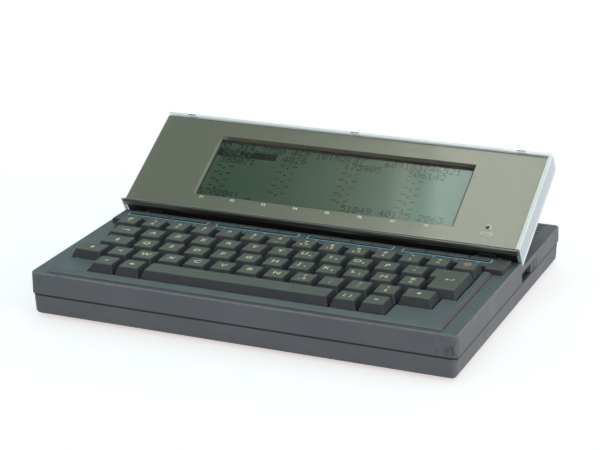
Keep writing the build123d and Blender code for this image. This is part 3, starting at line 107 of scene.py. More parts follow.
# The case's decks, seam and edges, millimetres. A pair gives where a band or a ramp starts and ends.
DECK_Z = 31.7
REAR_DECK_Z = 27.4
STEP_Y = 19.6
DITCH_Y = (-109.4, -105.9)
DITCH_END = (137.4, 137.0)
PLATEAU_FRONT_Y = (-106.6, -104.4)
PLATEAU_FRONT_END = (137.0, 136.6)
PLATEAU_SIDE_X = (135.2, 136.4)
PLATEAU_SLOPE_Z = (DECK_Z + 0.25, DECK_Z + 1.3)
SCUFF_X = (128.0, 144.0)
SCUFF_Y = (-100.0, -110.0)
SCUFF_Z = (19.0, 28.0)
SEAM_Z = (16.42, 16.98)
SEAM_HALF_WIDTH = 147.15
SEAM_HALF_DEPTH = 109.85
SEAM_CORNER = 4.0
SEAM_WALL = 0.12
SEAM_SHADE = 0.9
SEAM_SIDE_SHADE = 1.6
SEAM_SIDE_X = (146.6, 146.8)
RIM_DROP = 0.8
RIM_X = 147.4
RIM_Y = 110.1

# The dots of the LCD, millimetres
DOT = 0.79
CHARACTER_COLUMNS = 6
CHARACTER_ROWS = 8
LCD_LEFT = -96.3
LCD_TOP = 67.0
DOT_LIFT = 0.05
# Painted reflection: where the LCD and its dots start and finish turning lighter towards the right
VEIL_FROM, VEIL_TO = 10.0, 95.0

# World X of the directions that the tilted panel mirrors: dark to grey, a pale stripe, then the window
CEILING_SLOPE = (-0.42, -0.3)
CEILING_STRIPE = (-0.337, -0.331, -0.329, -0.323)
CEILING_WINDOW = (-0.321, -0.313)
BLACK = (0.0, 0.0, 0.0, 1.0)


def colour(red, green, blue):
    """A colour written as it looks on a screen, 0 to 255, as the linear values that a shader takes."""
    def linear(value):
        share = value / 255.0
        if share <= 0.04045:
            return share / 12.92
        return ((share + 0.055) / 1.055) ** 2.4
    return (linear(red), linear(green), linear(blue), 1.0)


# Shared effects

def new_group(name, inputs, outputs):
    """A shader node group with named inputs and outputs."""
    group = bpy.data.node_groups.new(name, "ShaderNodeTree")
    for label, kind, value in inputs:
        socket = group.interface.new_socket(label, in_out="INPUT", socket_type=kind)
        socket.default_value = value
    for label, kind in outputs:
        group.interface.new_socket(label, in_out="OUTPUT", socket_type=kind)
    return group, group.nodes.new("NodeGroupInput"), group.nodes.new("NodeGroupOutput")


def noise(tree, vector, scale, detail):
    """The value of a noise texture on a vector. The scale is a number or a socket."""
    texture = tree.nodes.new("ShaderNodeTexNoise")
    tree.links.new(vector, texture.inputs["Vector"])
    if isinstance(scale, float):
        texture.inputs["Scale"].default_value = scale
    else:
        tree.links.new(scale, texture.inputs["Scale"])
    texture.inputs["Detail"].default_value = detail
    return texture.outputs[0]


def arithmetic(tree, operation, first, second=0.0, clamp=False):
    """A Math node on two sockets or numbers."""
    node = tree.nodes.new("ShaderNodeMath")
    node.operation = operation
    node.use_clamp = clamp
    for value, socket in zip((first, second), node.inputs):
        if isinstance(value, (int, float)):
            socket.default_value = value
        else:
            tree.links.new(value, socket)
    return node.outputs[0]


def between(tree, value, start, end):
    """0 where the value is at start or before it, 1 at end or past it, smooth between them."""
    node = tree.nodes.new("ShaderNodeMapRange")
    node.interpolation_type = "SMOOTHSTEP"
    tree.links.new(value, node.inputs["Value"])
    node.inputs["From Min"].default_value = start
    node.inputs["From Max"].default_value = end
    return node.outputs["Result"]


def mixed(tree, share, first, second):
    """The first colour where the share is 0 and the second where it is 1."""
    node = tree.nodes.new("ShaderNodeMix")
    node.data_type = "RGBA"
    for value, socket in ((share, node.inputs[0]), (first, node.inputs[6]), (second, node.inputs[7])):
        if isinstance(value, (int, float, tuple)):
            socket.default_value = value
        else:
            tree.links.new(value, socket)
    return node.outputs[2]


def both(tree, first, second):
    """1 where both shares are 1."""
    return arithmetic(tree, "MULTIPLY", first, second)


def size_of(tree, value):
    """The value without its sign."""
    return arithmetic(tree, "ABSOLUTE", value)


def band(tree, value, edges, soft):
    """1 between two edges in millimetres and 0 past them, over a soft border."""
    low, high = edges
    rising = between(tree, value, (low - soft) * MM, low * MM)
    return both(tree, rising, between(tree, value, (high + soft) * MM, high * MM))


def ramp(tree, value, edges):
    """0 at the first of two places in millimetres and 1 at the second."""
    start, end = edges
    return between(tree, value, start * MM, end * MM)


def object_coordinates(tree):
    return tree.nodes.new("ShaderNodeTexCoord").outputs["Object"]


def axes(tree, vector):
    """The X, Y and Z of a vector."""
    split = tree.nodes.new("ShaderNodeSeparateXYZ")
    tree.links.new(vector, split.inputs["Vector"])
    return [split.outputs[axis] for axis in "XYZ"]


def stretched_noise(tree, stretch, scale, detail):
    """Noise drawn out along one axis, as streaks."""
    mapping = tree.nodes.new("ShaderNodeMapping")
    mapping.inputs["Scale"].default_value = stretch
    tree.links.new(object_coordinates(tree), mapping.inputs["Vector"])
    return noise(tree, mapping.outputs["Vector"], scale, detail)


def moulded_grain_group():
    """The spark-eroded grain of moulded plastic: a height for the bump and a speckle for the colour."""
    group, inside, outside = new_group(
        "moulded_grain",
        [("Grains per Metre", "NodeSocketFloat", 2200.0)],
        [("Height", "NodeSocketFloat"), ("Speckle", "NodeSocketFloat")],
    )
    place = object_coordinates(group)
    fine = noise(group, place, inside.outputs["Grains per Metre"], 3.0)
    group.links.new(between(group, fine, 0.3, 0.7), outside.inputs["Height"])
    coarse = noise(group, place, 900.0, 1.0)
    speckle = arithmetic(group, "MULTIPLY", arithmetic(group, "ADD", fine, coarse), 0.5)
    group.links.new(speckle, outside.inputs["Speckle"])
    return group


def handled_tone_group():
    """A colour that varies over the surface, as handled plastic and old paint do."""
    group, inside, outside = new_group(
        "handled_tone",
        [
            ("Colour", "NodeSocketColor", (0.5, 0.5, 0.5, 1.0)),
            ("Worn Colour", "NodeSocketColor", (0.6, 0.6, 0.6, 1.0)),
            ("Speckle", "NodeSocketFloat", 0.5),
            ("Speckle Share", "NodeSocketFloat", 0.1),
            ("Patch Share", "NodeSocketFloat", 0.3),
        ],
        [("Colour", "NodeSocketColor"), ("Patch", "NodeSocketFloat")],
    )
    place = object_coordinates(group)
    patches = between(group, noise(group, place, 28.0, 4.0), 0.42, 0.68)
    share = arithmetic(group, "MULTIPLY", patches, inside.outputs["Patch Share"])
    centred = arithmetic(group, "SUBTRACT", inside.outputs["Speckle"], 0.5)
    speckled = arithmetic(group, "MULTIPLY", centred, inside.outputs["Speckle Share"])
    total = arithmetic(group, "ADD", share, speckled, clamp=True)
    toned = mixed(group, total, inside.outputs["Colour"], inside.outputs["Worn Colour"])
    group.links.new(toned, outside.inputs["Colour"])
    group.links.new(patches, outside.inputs["Patch"])
    return group


def panel_place_group():
    """Places in the display panel's own frame in millimetres: across it, up it and out of it."""
    group, _, outside = new_group(
        "panel_place",
        [],
        [("Across", "NodeSocketFloat"), ("Up", "NodeSocketFloat"), ("Out", "NodeSocketFloat")],
    )
    back_turn = Matrix.Rotation(-math.radians(PANEL_TILT), 3, "X")
    mapping = group.nodes.new("ShaderNodeMapping")
    mapping.inputs["Rotation"].default_value = (-math.radians(PANEL_TILT), 0.0, 0.0)
    mapping.inputs["Scale"].default_value = (1 / MM, 1 / MM, 1 / MM)
    mapping.inputs["Location"].default_value = -(back_turn @ Vector(PANEL_ORIGIN))
    group.links.new(object_coordinates(group), mapping.inputs["Vector"])
    for axis, label in zip(axes(group, mapping.outputs["Vector"]), ("Across", "Up", "Out")):
        group.links.new(axis, outside.inputs[label])
    return group


GROUPS = {
    "grain": moulded_grain_group(),
    "tone": handled_tone_group(),
    "panel": panel_place_group(),
}


def placed_group(tree, name, **values):
    """A shared group in a material, with its own values."""
    node = tree.nodes.new("ShaderNodeGroup")
    node.node_tree = GROUPS[name]
    for label, value in values.items():
        node.inputs[label.replace("_", " ")].default_value = value
    return node


# Materials

def plain_material(name, base, roughness, metallic=0.0, coat=0.0, coat_roughness=0.1):
    """A material whose numbers are set on the shader's own sockets."""
    material = bpy.data.materials.new(name)
    material.use_nodes = True
    shader = material.node_tree.nodes["Principled BSDF"]
    shader.inputs["Base Color"].default_value = base
    shader.inputs["Roughness"].default_value = roughness
    shader.inputs["Metallic"].default_value = metallic
    shader.inputs["Coat Weight"].default_value = coat
    shader.inputs["Coat Roughness"].default_value = coat_roughness
    return material, material.node_tree, shader


def add_bump(tree, shader, height, distance):
    """Grain that catches the light: a height, and its depth in metres."""
    bump = tree.nodes.new("ShaderNodeBump")
    bump.inputs["Strength"].default_value = 1.0
    bump.inputs["Distance"].default_value = distance
    tree.links.new(height, bump.inputs["Height"])
    tree.links.new(bump.outputs["Normal"], shader.inputs["Normal"])


def moulded_plastic(name, base, worn, roughness, grains, depth, patch=0.3):
    """Moulded plastic: grain in the bump, and a colour and gloss that vary a little."""
    material, tree, shader = plain_material(name, base, roughness)
    grain = placed_group(tree, "grain", Grains_per_Metre=grains)
    tone = placed_group(tree, "tone", Worn_Colour=worn, Speckle_Share=0.35, Patch_Share=patch)
    tone.inputs["Colour"].default_value = base
    tree.links.new(grain.outputs["Speckle"], tone.inputs["Speckle"])
    tree.links.new(tone.outputs["Colour"], shader.inputs["Base Color"])
    gloss = arithmetic(tree, "MULTIPLY_ADD", tone.outputs["Patch"], -0.08)
    gloss.node.inputs[2].default_value = roughness + 0.04
    tree.links.new(gloss, shader.inputs["Roughness"])
    add_bump(tree, shader, grain.outputs["Height"], depth)
    return material, tree, shader, tone


def case_material():
    """Grey case plastic with painted light and shade: a painted sky reflection on the decks, painted
    highlights along the top edges, painted light and shade on the plateau's slopes, painted shade in the
    ditch, a painted shadow in and under the groove between the case halves, and a scuffed corner.
    """
    material, tree, shader, tone = moulded_plastic(
        "case_plastic", colour(94, 94, 98), colour(104, 104, 109), 0.5, 2400.0, 0.00008
    )
    place = object_coordinates(tree)
    x, y, z = axes(tree, place)
    aside = size_of(tree, x)
    # Painted reflection: the decks get a blue-green tint, as of the sky they mirror.
    deck_sky_reflection = band(tree, z, (DECK_Z - 0.1, DECK_Z + 4.0), 0.1)
    toned = mixed(tree, deck_sky_reflection, tone.outputs["Colour"], colour(78, 90, 94))

    # Painted highlight: a lighter colour along the top edges at the sides and front, broken up by noise.
    deck_rim = band(tree, z, (DECK_Z - RIM_DROP, DECK_Z + 0.2), 0.2)
    rear_rim = band(tree, z, (REAR_DECK_Z - RIM_DROP, REAR_DECK_Z + 0.2), 0.2)
    rear_rim = both(tree, rear_rim, ramp(tree, y, (STEP_Y, STEP_Y + 0.4)))
    height = arithmetic(tree, "MAXIMUM", deck_rim, rear_rim)
    at_side = ramp(tree, aside, (RIM_X - 0.2, RIM_X))
    in_front = ramp(tree, y, (0.2 - RIM_Y, -RIM_Y))
    highlight_breaks = between(tree, noise(tree, place, 160.0, 3.0), 0.15, 0.6)
    rim = both(tree, both(tree, height, arithmetic(tree, "MAXIMUM", at_side, in_front)), highlight_breaks)
    toned = mixed(tree, arithmetic(tree, "MULTIPLY", rim, 0.6), toned, colour(140, 132, 132))

    # Painted reflection: the plateau's slopes at left and right are tinted warm brown.
    on_slope = band(tree, z, PLATEAU_SLOPE_Z, 0.15)
    side_slope_reflection = both(tree, band(tree, aside, PLATEAU_SIDE_X, 0.15), on_slope)
    toned = mixed(tree, side_slope_reflection, toned, colour(92, 76, 72))
    # Painted light: the plateau's front slope gets the grey of the front-facing faces instead of the decks'
    # tint.
    front_slope = both(tree, band(tree, y, PLATEAU_FRONT_Y, 0.15), on_slope)
    front_slope = both(tree, front_slope, ramp(tree, aside, PLATEAU_FRONT_END))
    toned = mixed(tree, front_slope, toned, colour(98, 94, 99))
    # Painted shade: the ditch before the plateau is darker and bluer.
    on_ditch = both(tree, ramp(tree, z, (DECK_Z + 0.3, DECK_Z + 0.1)), ramp(tree, z, (29.0, 30.0)))
    ditch = both(tree, band(tree, y, DITCH_Y, 0.2), on_ditch)
    ditch = both(tree, ditch, ramp(tree, aside, DITCH_END))
    toned = mixed(tree, ditch, toned, colour(54, 60, 70))

    near_corner = both(tree, ramp(tree, x, SCUFF_X), ramp(tree, y, SCUFF_Y))
    near_corner = both(tree, near_corner, band(tree, z, SCUFF_Z, 2.0))
    streaks = between(tree, stretched_noise(tree, (1.0, 1.0, 0.25), 420.0, 5.0), 0.47, 0.6)
    scuffs = arithmetic(tree, "MULTIPLY", both(tree, near_corner, streaks), 0.6)
    toned = mixed(tree, scuffs, toned, colour(44, 43, 46))

    # Painted shadow: near black in the groove between the case halves and just below it, lower still at left
    # and right.
    low, high = SEAM_Z
    seam_shadow = band(tree, z, (low - SEAM_SHADE, high), 0.1)
    side_seam_shadow = both(tree, ramp(tree, aside, SEAM_SIDE_X), band(tree, z, (low - SEAM_SIDE_SHADE, high), 0.1))
    toned = mixed(tree, arithmetic(tree, "MAXIMUM", seam_shadow, side_seam_shadow), toned, colour(6, 6, 6))
    tree.links.new(toned, shader.inputs["Base Color"])
    return material


def key_material(name, base, worn, side_shade, top):
    """Key plastic with painted shade: darker on its flanks below the height of its top, where the keys shade
    each other.
    """
    material, tree, shader, tone = moulded_plastic(name, base, worn, 0.46, 3000.0, 0.00003, 0.4)
    height = axes(tree, object_coordinates(tree))[2]
    in_side_shade = ramp(tree, height, (top, top - 0.25))
    toned = mixed(tree, in_side_shade, tone.outputs["Colour"], side_shade)
    tree.links.new(toned, shader.inputs["Base Color"])
    return material


def panel_material():
    """Grey-olive metallic paint behind the clear sheet, with fine dust, and walls round the window painted
    with light and shade: light on the left, where the light falls, and grey-brown on the others.
    """
    material, tree, shader = plain_material("panel_metal", colour(112, 115, 101), 0.5, 0.2, 1.0, 0.07)
    shader.inputs["Specular IOR Level"].default_value = 0.15
    place = object_coordinates(tree)
    panel = placed_group(tree, "panel")
    flakes = between(tree, noise(tree, place, 3000.0, 2.0), 0.3, 0.8)
    toned = mixed(tree, flakes, colour(104, 107, 93), colour(121, 123, 109))
    dust = between(tree, noise(tree, place, 520.0, 3.0), 0.72, 0.78)
    dusty = mixed(tree, dust, toned, colour(150, 156, 142))
    # Painted light and shade on the window's walls: light on the left wall, grey-brown on the others.
    in_wall = between(tree, panel.outputs["Out"], -0.1, -0.4)
    lit_left_side = between(tree, panel.outputs["Across"], -90.0, -94.0)
    wall = mixed(tree, lit_left_side, colour(118, 112, 98), colour(158, 164, 146))
    tree.links.new(mixed(tree, in_wall, dusty, wall), shader.inputs["Base Color"])
    return material


def lcd_material():
    """The grey-green liquid crystal behind its glass, with a painted reflection that makes it lighter towards
    the right.
    """
    material, tree, shader = plain_material("lcd", colour(70, 89, 72), 0.5, 0.0, 1.0, 0.05)
    shader.inputs["Specular IOR Level"].default_value = 0.1
    place = object_coordinates(tree)
    clouds = between(tree, noise(tree, place, 14.0, 2.0), 0.3, 0.7)
    toned = mixed(tree, clouds, colour(66, 85, 68), colour(73, 93, 75))
    panel = placed_group(tree, "panel")
    reflection_veil = between(tree, panel.outputs["Across"], VEIL_FROM, VEIL_TO)
    tree.links.new(mixed(tree, reflection_veil, toned, colour(97, 132, 121)), shader.inputs["Base Color"])
    return material


def crystal_material():
    """Dark dots of the liquid crystal, under the same glass, lighter towards the right with the same painted
    reflection.
    """
    material, tree, shader = plain_material("dark_crystal", colour(14, 24, 20), 0.5, 0.0, 1.0, 0.05)
    shader.inputs["Specular IOR Level"].default_value = 0.1
    panel = placed_group(tree, "panel")
    reflection_veil = between(tree, panel.outputs["Across"], VEIL_FROM, VEIL_TO)
    tree.links.new(mixed(tree, reflection_veil, colour(8, 16, 15), colour(30, 46, 42)), shader.inputs["Base Color"])
    return material


def cover_material():
    """The clear cover: see-through over the panel, milky where it is seen through its thick walls, with
    painted glints along the walls' edges and a painted glow on its top edge and left wall.
    """
    material, tree, shader = plain_material("clear_plastic", colour(222, 228, 230), 0.2, 0.0, 0.0)
    panel = placed_group(tree, "panel")
    across, up, out = (panel.outputs[label] for label in ("Across", "Up", "Out"))
    over_panel = between(tree, out, -0.4, 0.0)
    above_edge = between(tree, up, -0.3, 0.1)
    below_top = between(tree, up, PANEL_TOP + 0.3, PANEL_TOP)
    inside = between(tree, size_of(tree, across), PANEL_FACE_END + 0.3, PANEL_FACE_END)
    over_face = both(tree, both(tree, above_edge, below_top), inside)
    clear = both(tree, over_panel, over_face)
    alpha = arithmetic(tree, "MULTIPLY_ADD", clear, -0.9)
    alpha.node.inputs[2].default_value = 0.9
    tree.links.new(alpha, shader.inputs["Alpha"])
    # Painted highlights: the walls whiten towards their back edge, and their front edges are near white, as
    # glints on the clear plastic.
    back_edge_glint = between(tree, out, -12.0, -15.6)
    wall = mixed(tree, back_edge_glint, colour(196, 202, 205), colour(246, 249, 250))
    strip = between(tree, out, -0.2, 0.6)
    toned = mixed(tree, strip, wall, colour(244, 246, 244))
    for catch in CATCHES:
        from_catch = size_of(tree, arithmetic(tree, "SUBTRACT", across, catch))
        above_panel = between(tree, up, PANEL_TOP + 0.6, PANEL_TOP + 1.0)
        at_catch = both(tree, between(tree, from_catch, 3.4, 2.9), above_panel)
        toned = mixed(tree, at_catch, toned, colour(120, 122, 122))
    end = between(tree, up, 0.0, -0.4)
    at_side = between(tree, size_of(tree, across), 144.8, 145.4)
    toned = mixed(tree, end, toned, mixed(tree, at_side, colour(88, 92, 84), colour(150, 178, 172)))
    tree.links.new(toned, shader.inputs["Base Color"])
    # Painted light: the top edge and the left wall glow, though they are no lamp.
    shader.inputs["Emission Strength"].default_value = 1.0
    lit_left_side = between(tree, across, -144.8, -145.4)
    at_top = between(tree, up, PANEL_TOP, PANEL_TOP + 0.3)
    glow = mixed(tree, at_top, BLACK, (0.12, 0.12, 0.12, 1.0))
    glow = mixed(tree, lit_left_side, glow, (0.5, 0.5, 0.5, 1.0))
    glow = mixed(tree, end, glow, BLACK)
    tree.links.new(glow, shader.inputs["Emission Color"])
    return material


def edge_material():
    """The display's grey-brown lower edge, with light streaks painted on as the highlights of its rounded
    rim.
    """
    material, tree, shader = plain_material("frame_edge", colour(84, 78, 74), 0.3)
    # Painted highlight: light streaks along the edge.
    streaks = between(tree, stretched_noise(tree, (14.0, 900.0, 900.0), 1.0, 2.0), 0.5, 0.62)
    toned = mixed(tree, streaks, colour(48, 44, 42), colour(112, 110, 110))
    tree.links.new(toned, shader.inputs["Base Color"])
    return material


def board_material():
    """Green solder mask with faint tracks."""
    material, tree, shader = plain_material("board", colour(34, 78, 48), 0.4)
    wave = tree.nodes.new("ShaderNodeTexWave")
    wave.inputs["Scale"].default_value = 180.0
    wave.inputs["Distortion"].default_value = 6.0
    tree.links.new(object_coordinates(tree), wave.inputs["Vector"])
    tracks = between(tree, wave.outputs["Fac"], 0.55, 0.7)
    tree.links.new(mixed(tree, tracks, colour(30, 70, 42), colour(46, 96, 58)), shader.inputs["Base Color"])
    return material


def metal_material(name, base, roughness):
    """Plated or rolled metal with a slightly uneven gloss."""
    material, tree, shader = plain_material(name, base, roughness, 1.0)
    uneven = between(tree, noise(tree, object_coordinates(tree), 260.0, 3.0), 0.3, 0.7)
    gloss = arithmetic(tree, "MULTIPLY_ADD", uneven, 0.14)
    gloss.node.inputs[2].default_value = roughness
    tree.links.new(gloss, shader.inputs["Roughness"])
    return material


def ink_material(name, base):
    """Printed ink, a little uneven."""
    material, tree, shader = plain_material(name, base, 0.5)
    thin = between(tree, noise(tree, object_coordinates(tree), 1500.0, 2.0), 0.3, 0.7)
    darker = tuple(value * 0.8 for value in base[:3]) + (1.0,)
    tree.links.new(mixed(tree, thin, darker, base), shader.inputs["Base Color"])
    return material


def plain_plastic(*values):
    """A moulded plastic with nothing added to it."""
    return moulded_plastic(*values)[0]


MATERIALS = {
    "case": case_material(),
    "strip": plain_plastic("strip_plastic", colour(58, 61, 62), colour(68, 70, 71), 0.5, 2600.0, 0.00005),
    # Each key material's third colour is the painted shade on the keys' flanks.
    "keys": key_material(
        "key_plastic", colour(68, 75, 70), colour(80, 87, 80), colour(44, 43, 50), KEY_TOP_Z - 0.3
    ),
    "bars": key_material(
        "bar_key_plastic", colour(60, 68, 68), colour(70, 78, 78), colour(12, 12, 13), STRIP_TOP_Z + 0.35
    ),
    "display_black": plain_plastic(
        "display_black", colour(34, 34, 34), colour(42, 42, 42), 0.45, 2600.0, 0.00004
    ),
    "panel": panel_material(),
    "lcd": lcd_material(),
    "cover": cover_material(),
    "board": board_material(),
    "chips": plain_plastic("chip_plastic", colour(30, 30, 32), colour(40, 40, 42), 0.6, 3000.0, 0.00003),
    "steel": metal_material("steel", colour(160, 162, 165), 0.32),
    "contacts": metal_material("spring_contacts", colour(196, 178, 120), 0.25),
    "cells": plain_plastic("cell_wrap", colour(52, 62, 92), colour(66, 76, 104), 0.35, 900.0, 0.00001),
    "rubber": plain_plastic("rubber", colour(28, 28, 29), colour(44, 43, 42), 0.8, 1800.0, 0.00006),
    "lamp": plain_material("lamp", colour(40, 16, 16), 0.2, 0.0, 1.0)[0],
    "key_ink": ink_material("key_ink", colour(250, 234, 182)),
    "rose_ink": ink_material("rose_ink", colour(216, 168, 146)),
    "white_ink": ink_material("white_ink", colour(232, 238, 232)),
    "blue_ink": ink_material("blue_ink", colour(156, 232, 255)),
    "crystal": crystal_material(),
    "edge": edge_material(),
    "black_seal_and_shade": plain_plastic("black_seal_and_shade_rubber", colour(14, 14, 15), colour(20, 20, 21), 0.7, 2000.0, 0.00002),
    "ring": metal_material("bright_ring", colour(206, 210, 206), 0.18),
}

NODE_MATERIALS = {
    "case": ["lower_case", "upper_case", "battery_door", "option_cover", "power_switch"],
    "strip": ["function_strip"],
    "keys": ["key_", "keys_row_"],
    "bars": ["function_key_"],
    "display_black": [
        "display_back", "contrast_dial", "reset_button", "dc_jack", "round_sockets",
        "hinge_brackets", "hinge_pins",
    ],
    "panel": ["display_panel"],
    "lcd": ["lcd_glass"],
    "cover": ["display_cover"],
    "board": ["main_board", "keyboard_board", "lcd_board"],
    "chips": ["board_parts", "key_switches", "function_switches", "backup_battery"],
    "steel": ["keyboard_plate", "case_screws", "lcd_frame", "serial_connector", "wand_connector"],
    "contacts": ["battery_contacts"],
    "cells": ["batteries"],
    "rubber": ["rubber_feet"],
    "lamp": ["battery_led"],
}


def dress_nodes():
    """Gives every CAD node its material: a longer name wins over the start of one."""
    starts = sorted(
        ((start, name) for name, nodes in NODE_MATERIALS.items() for start in nodes),
        key=lambda pair: len(pair[0]),
    )
    for node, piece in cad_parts.items():
        chosen = "strip"
        for start, name in starts:
            if node.startswith(start):
                chosen = name
        piece.data.materials.clear()
        piece.data.materials.append(MATERIALS[chosen])


# Modelling helpers

def deselect_all():
    bpy.ops.object.select_all(action="DESELECT")


def key_place(row, units):
    """The middle of a key's top, in metres. Row 0 is the front row."""
    return Vector((
        (FIRST_KEY_X + KEY_PITCH * units) * MM,
        (FRONT_ROW_Y + KEY_PITCH * row + KEY_TOP_SHIFT) * MM,
        KEY_TOP_Z * MM,
    ))


def on_panel(across, up, out):
    """A place on the display panel, given in millimetres in the panel's own frame."""
    turn = Matrix.Rotation(math.radians(PANEL_TILT), 3, "X")
    return (turn @ Vector((across, up, out)) + Vector(PANEL_ORIGIN)) * MM


def as_mesh(piece):
    """Turns a text or curve into a mesh whose place is in its points."""
    deselect_all()
    bpy.context.view_layer.objects.active = piece
    piece.select_set(True)
    bpy.ops.object.convert(target="MESH")
    piece = bpy.context.object
    bpy.ops.object.transform_apply(location=True, rotation=True, scale=True)
    return piece


def printed(words, size, place, tilt=0.0):
    """A printed word as a thin raised mesh, lying flat or on the tilted panel."""
    deselect_all()
    bpy.ops.object.text_add(location=place, rotation=(math.radians(tilt), 0.0, 0.0))
    text = bpy.context.object
    text.data.body = words
    text.data.size = size * MM
    text.data.extrude = INK * MM / 2
    text.data.offset = STROKE_GROWTH * size * MM
    text.data.resolution_u = 3
    text.data.align_x = "CENTER"
    text.data.align_y = "CENTER"
    text.scale.x = LETTER_STRETCH
    return as_mesh(text)


def drawn(outline, place, tilt=0.0, hole=None):
    """A printed symbol: a closed outline in millimetres, filled but for its hole, as a thin raised mesh."""
    shape = bpy.data.curves.new("symbol", "CURVE")
    shape.dimensions = "2D"
    shape.fill_mode = "BOTH"
    shape.extrude = INK * MM / 2
    for ring in [outline, hole] if hole else [outline]:
        spline = shape.splines.new("POLY")
        spline.points.add(len(ring) - 1)
        for point, (x, y) in zip(spline.points, ring):
            point.co = (x * MM, y * MM, 0.0, 1.0)
        spline.use_cyclic_u = True
    symbol = bpy.data.objects.new("symbol", shape)
    bpy.context.scene.collection.objects.link(symbol)
    symbol.location = place
    symbol.rotation_euler = (math.radians(tilt), 0.0, 0.0)
    return as_mesh(symbol)


def joined(pieces, name, material):
    """Several meshes as one piece of one material."""
    deselect_all()
    for piece in pieces:
        piece.select_set(True)
    bpy.context.view_layer.objects.active = pieces[0]
    if len(pieces) > 1:
        bpy.ops.object.join()
    whole = bpy.context.object
    whole.name = name
    whole.data.name = name
    whole.data.materials.clear()
    whole.data.materials.append(MATERIALS[material])
    return whole


def delete_faces(piece, unwanted):
    """Deletes the faces of a mesh that a test picks out."""
    bpy.ops.object.mode_set(mode="EDIT")
    bpy.ops.mesh.select_mode(type="FACE")
    bpy.ops.mesh.select_all(action="DESELECT")
    bpy.ops.object.mode_set(mode="OBJECT")
    for face in piece.data.polygons:
        face.select = unwanted(face)
    bpy.ops.object.mode_set(mode="EDIT")
    bpy.ops.mesh.delete(type="FACE")
    bpy.ops.object.mode_set(mode="OBJECT")


# Legends of the keys

SHIFT_ARROW = [(0, 2.0), (1.9, 0.1), (0.9, 0.1), (0.9, -1.6), (-0.9, -1.6), (-0.9, 0.1), (-1.9, 0.1)]
LOCK_BAR = [(-1.3, -2.1), (1.3, -2.1), (1.3, -2.7), (-1.3, -2.7)]
TAB_ARROW = [
    (-3.0, 0.3), (0.6, 0.3), (0.6, 1.3), (2.4, 0.2), (2.4, 1.4), (3.0, 1.4), (3.0, -1.4), (2.4, -1.4),
    (2.4, -0.2), (0.6, -1.3), (0.6, -0.3), (-3.0, -0.3),
]
ENTER_ARROW = [
    (-3.2, -0.2), (-1.2, 1.2), (-1.2, 0.1), (2.2, 0.1), (2.2, 1.9), (2.9, 1.9), (2.9, -0.5), (-1.2, -0.5),
    (-1.2, -1.6),
]
WEDGE = [(-1.9, -0.9), (0.0, 1.3), (1.9, -0.9), (1.1, -0.9), (0.0, 0.4), (-1.1, -0.9)]
DIAMOND = [(0.0, 1.6), (2.4, 0.0), (0.0, -1.6), (-2.4, 0.0)]

SQUARE_LEGENDS = {
    1: [(1.25 + i, legend) for i, legend in enumerate("<WXCVBN")],
    2: [(1.75 + i, legend) for i, legend in enumerate("QSDFGHJKLM")],
    3: [(1.5 + i, legend) for i, legend in enumerate("AZERTYUIOP")],
}
DOUBLE_LEGENDS = {
    1: [(8.25, "?", ", 0"), (9.25, ".", ";"), (10.25, "/", ":"), (11.25, "!", "§")],
    2: [(11.75, "%", "ù")],
    3: [(11.5, "¨", "^")],
    4: [
        (0.0, "#", "*"), (1.0, "1", "&"), (2.0, "2", "é"), (3.0, "3", "\""), (4.0, "4", "'"),
        (5.0, "5", "("), (6.0, "6", "_"), (7.0, "7", "è 7"), (8.0, "8", "! 8"), (9.0, "9", "ç 9"),
        (10.0, "0", "à"), (11.0, "°", ")"), (12.0, "+", "="),
    ],
}
PAD_DIGITS = {(3, 7.5): "4", (3, 8.5): "5", (3, 9.5): "6", (2, 7.75): "1", (2, 8.75): "2", (2, 9.75): "3"}


def shifted(place, shift):
    """A place moved across and up by millimetres."""
    across, up = shift
    return place + Vector((across, up, 0.0)) * MM


def double_legend(place, upper, lower):
    """Two signs on one key, one above the other."""
    return [
        printed(upper, DIGIT_SIZE, shifted(place, UPPER_SHIFT)),
        printed(lower, SECOND_SIZE, shifted(place, LOWER_SHIFT)),
    ]


def square_legends(row):
    """The signs on one row of square keys, with the small digits of its number pad."""
    made = []
    for units, legend in SQUARE_LEGENDS.get(row, []):
        place = key_place(row, units)
        digit = PAD_DIGITS.get((row, units))
        if digit:
            made.append(printed(legend, LETTER_SIZE, shifted(place, PAD_LETTER_SHIFT)))
            made.append(printed(digit, SMALL_SIZE, shifted(place, PAD_DIGIT_SHIFT)))
        else:
            made.append(printed(legend, LETTER_SIZE, place))
    for units, upper, lower in DOUBLE_LEGENDS.get(row, []):
        made += double_legend(key_place(row, units), upper, lower)
    return made


def add_legends():
    """Every legend rides on its own key."""
    def ride(pieces, name, body, material="key_ink"):
        legend = joined(pieces, name, material)
        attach(legend, body)

    front = [
        drawn(WEDGE, key_place(0, 1.25)),
        drawn(DIAMOND, key_place(0, 2.25)),
        printed("[  ]", SECOND_SIZE, key_place(0, 10.25)),
        printed("=", DIGIT_SIZE, key_place(0, 11.25)),
    ]
    ride(front, "legends_row_1", "keys_row_1")
    for row in (1, 2, 3, 4):
        ride(square_legends(row), f"legends_row_{row + 1}", f"keys_row_{row + 1}")
    ride(double_legend(key_place(4, 13.0), "@", "^"), "legend_last_key", "keys_row_5", "rose_ink")
    ride([drawn(TAB_ARROW, key_place(3, 0.375))], "legend_tab", "key_tab")
    lock = key_place(2, 0.6)
    ride([drawn(SHIFT_ARROW, lock), drawn(LOCK_BAR, lock)], "legend_shift_lock", "key_shift_lock")
    ride([drawn(SHIFT_ARROW, key_place(1, 0.125))], "legend_shift_left", "key_shift_left")
    ride([drawn(SHIFT_ARROW, key_place(1, 12.375))], "legend_shift_right", "key_shift_right")
    ride([drawn(ENTER_ARROW, key_place(2.5, 12.9))], "legend_enter", "key_enter")


# Printed lines round the bar keys

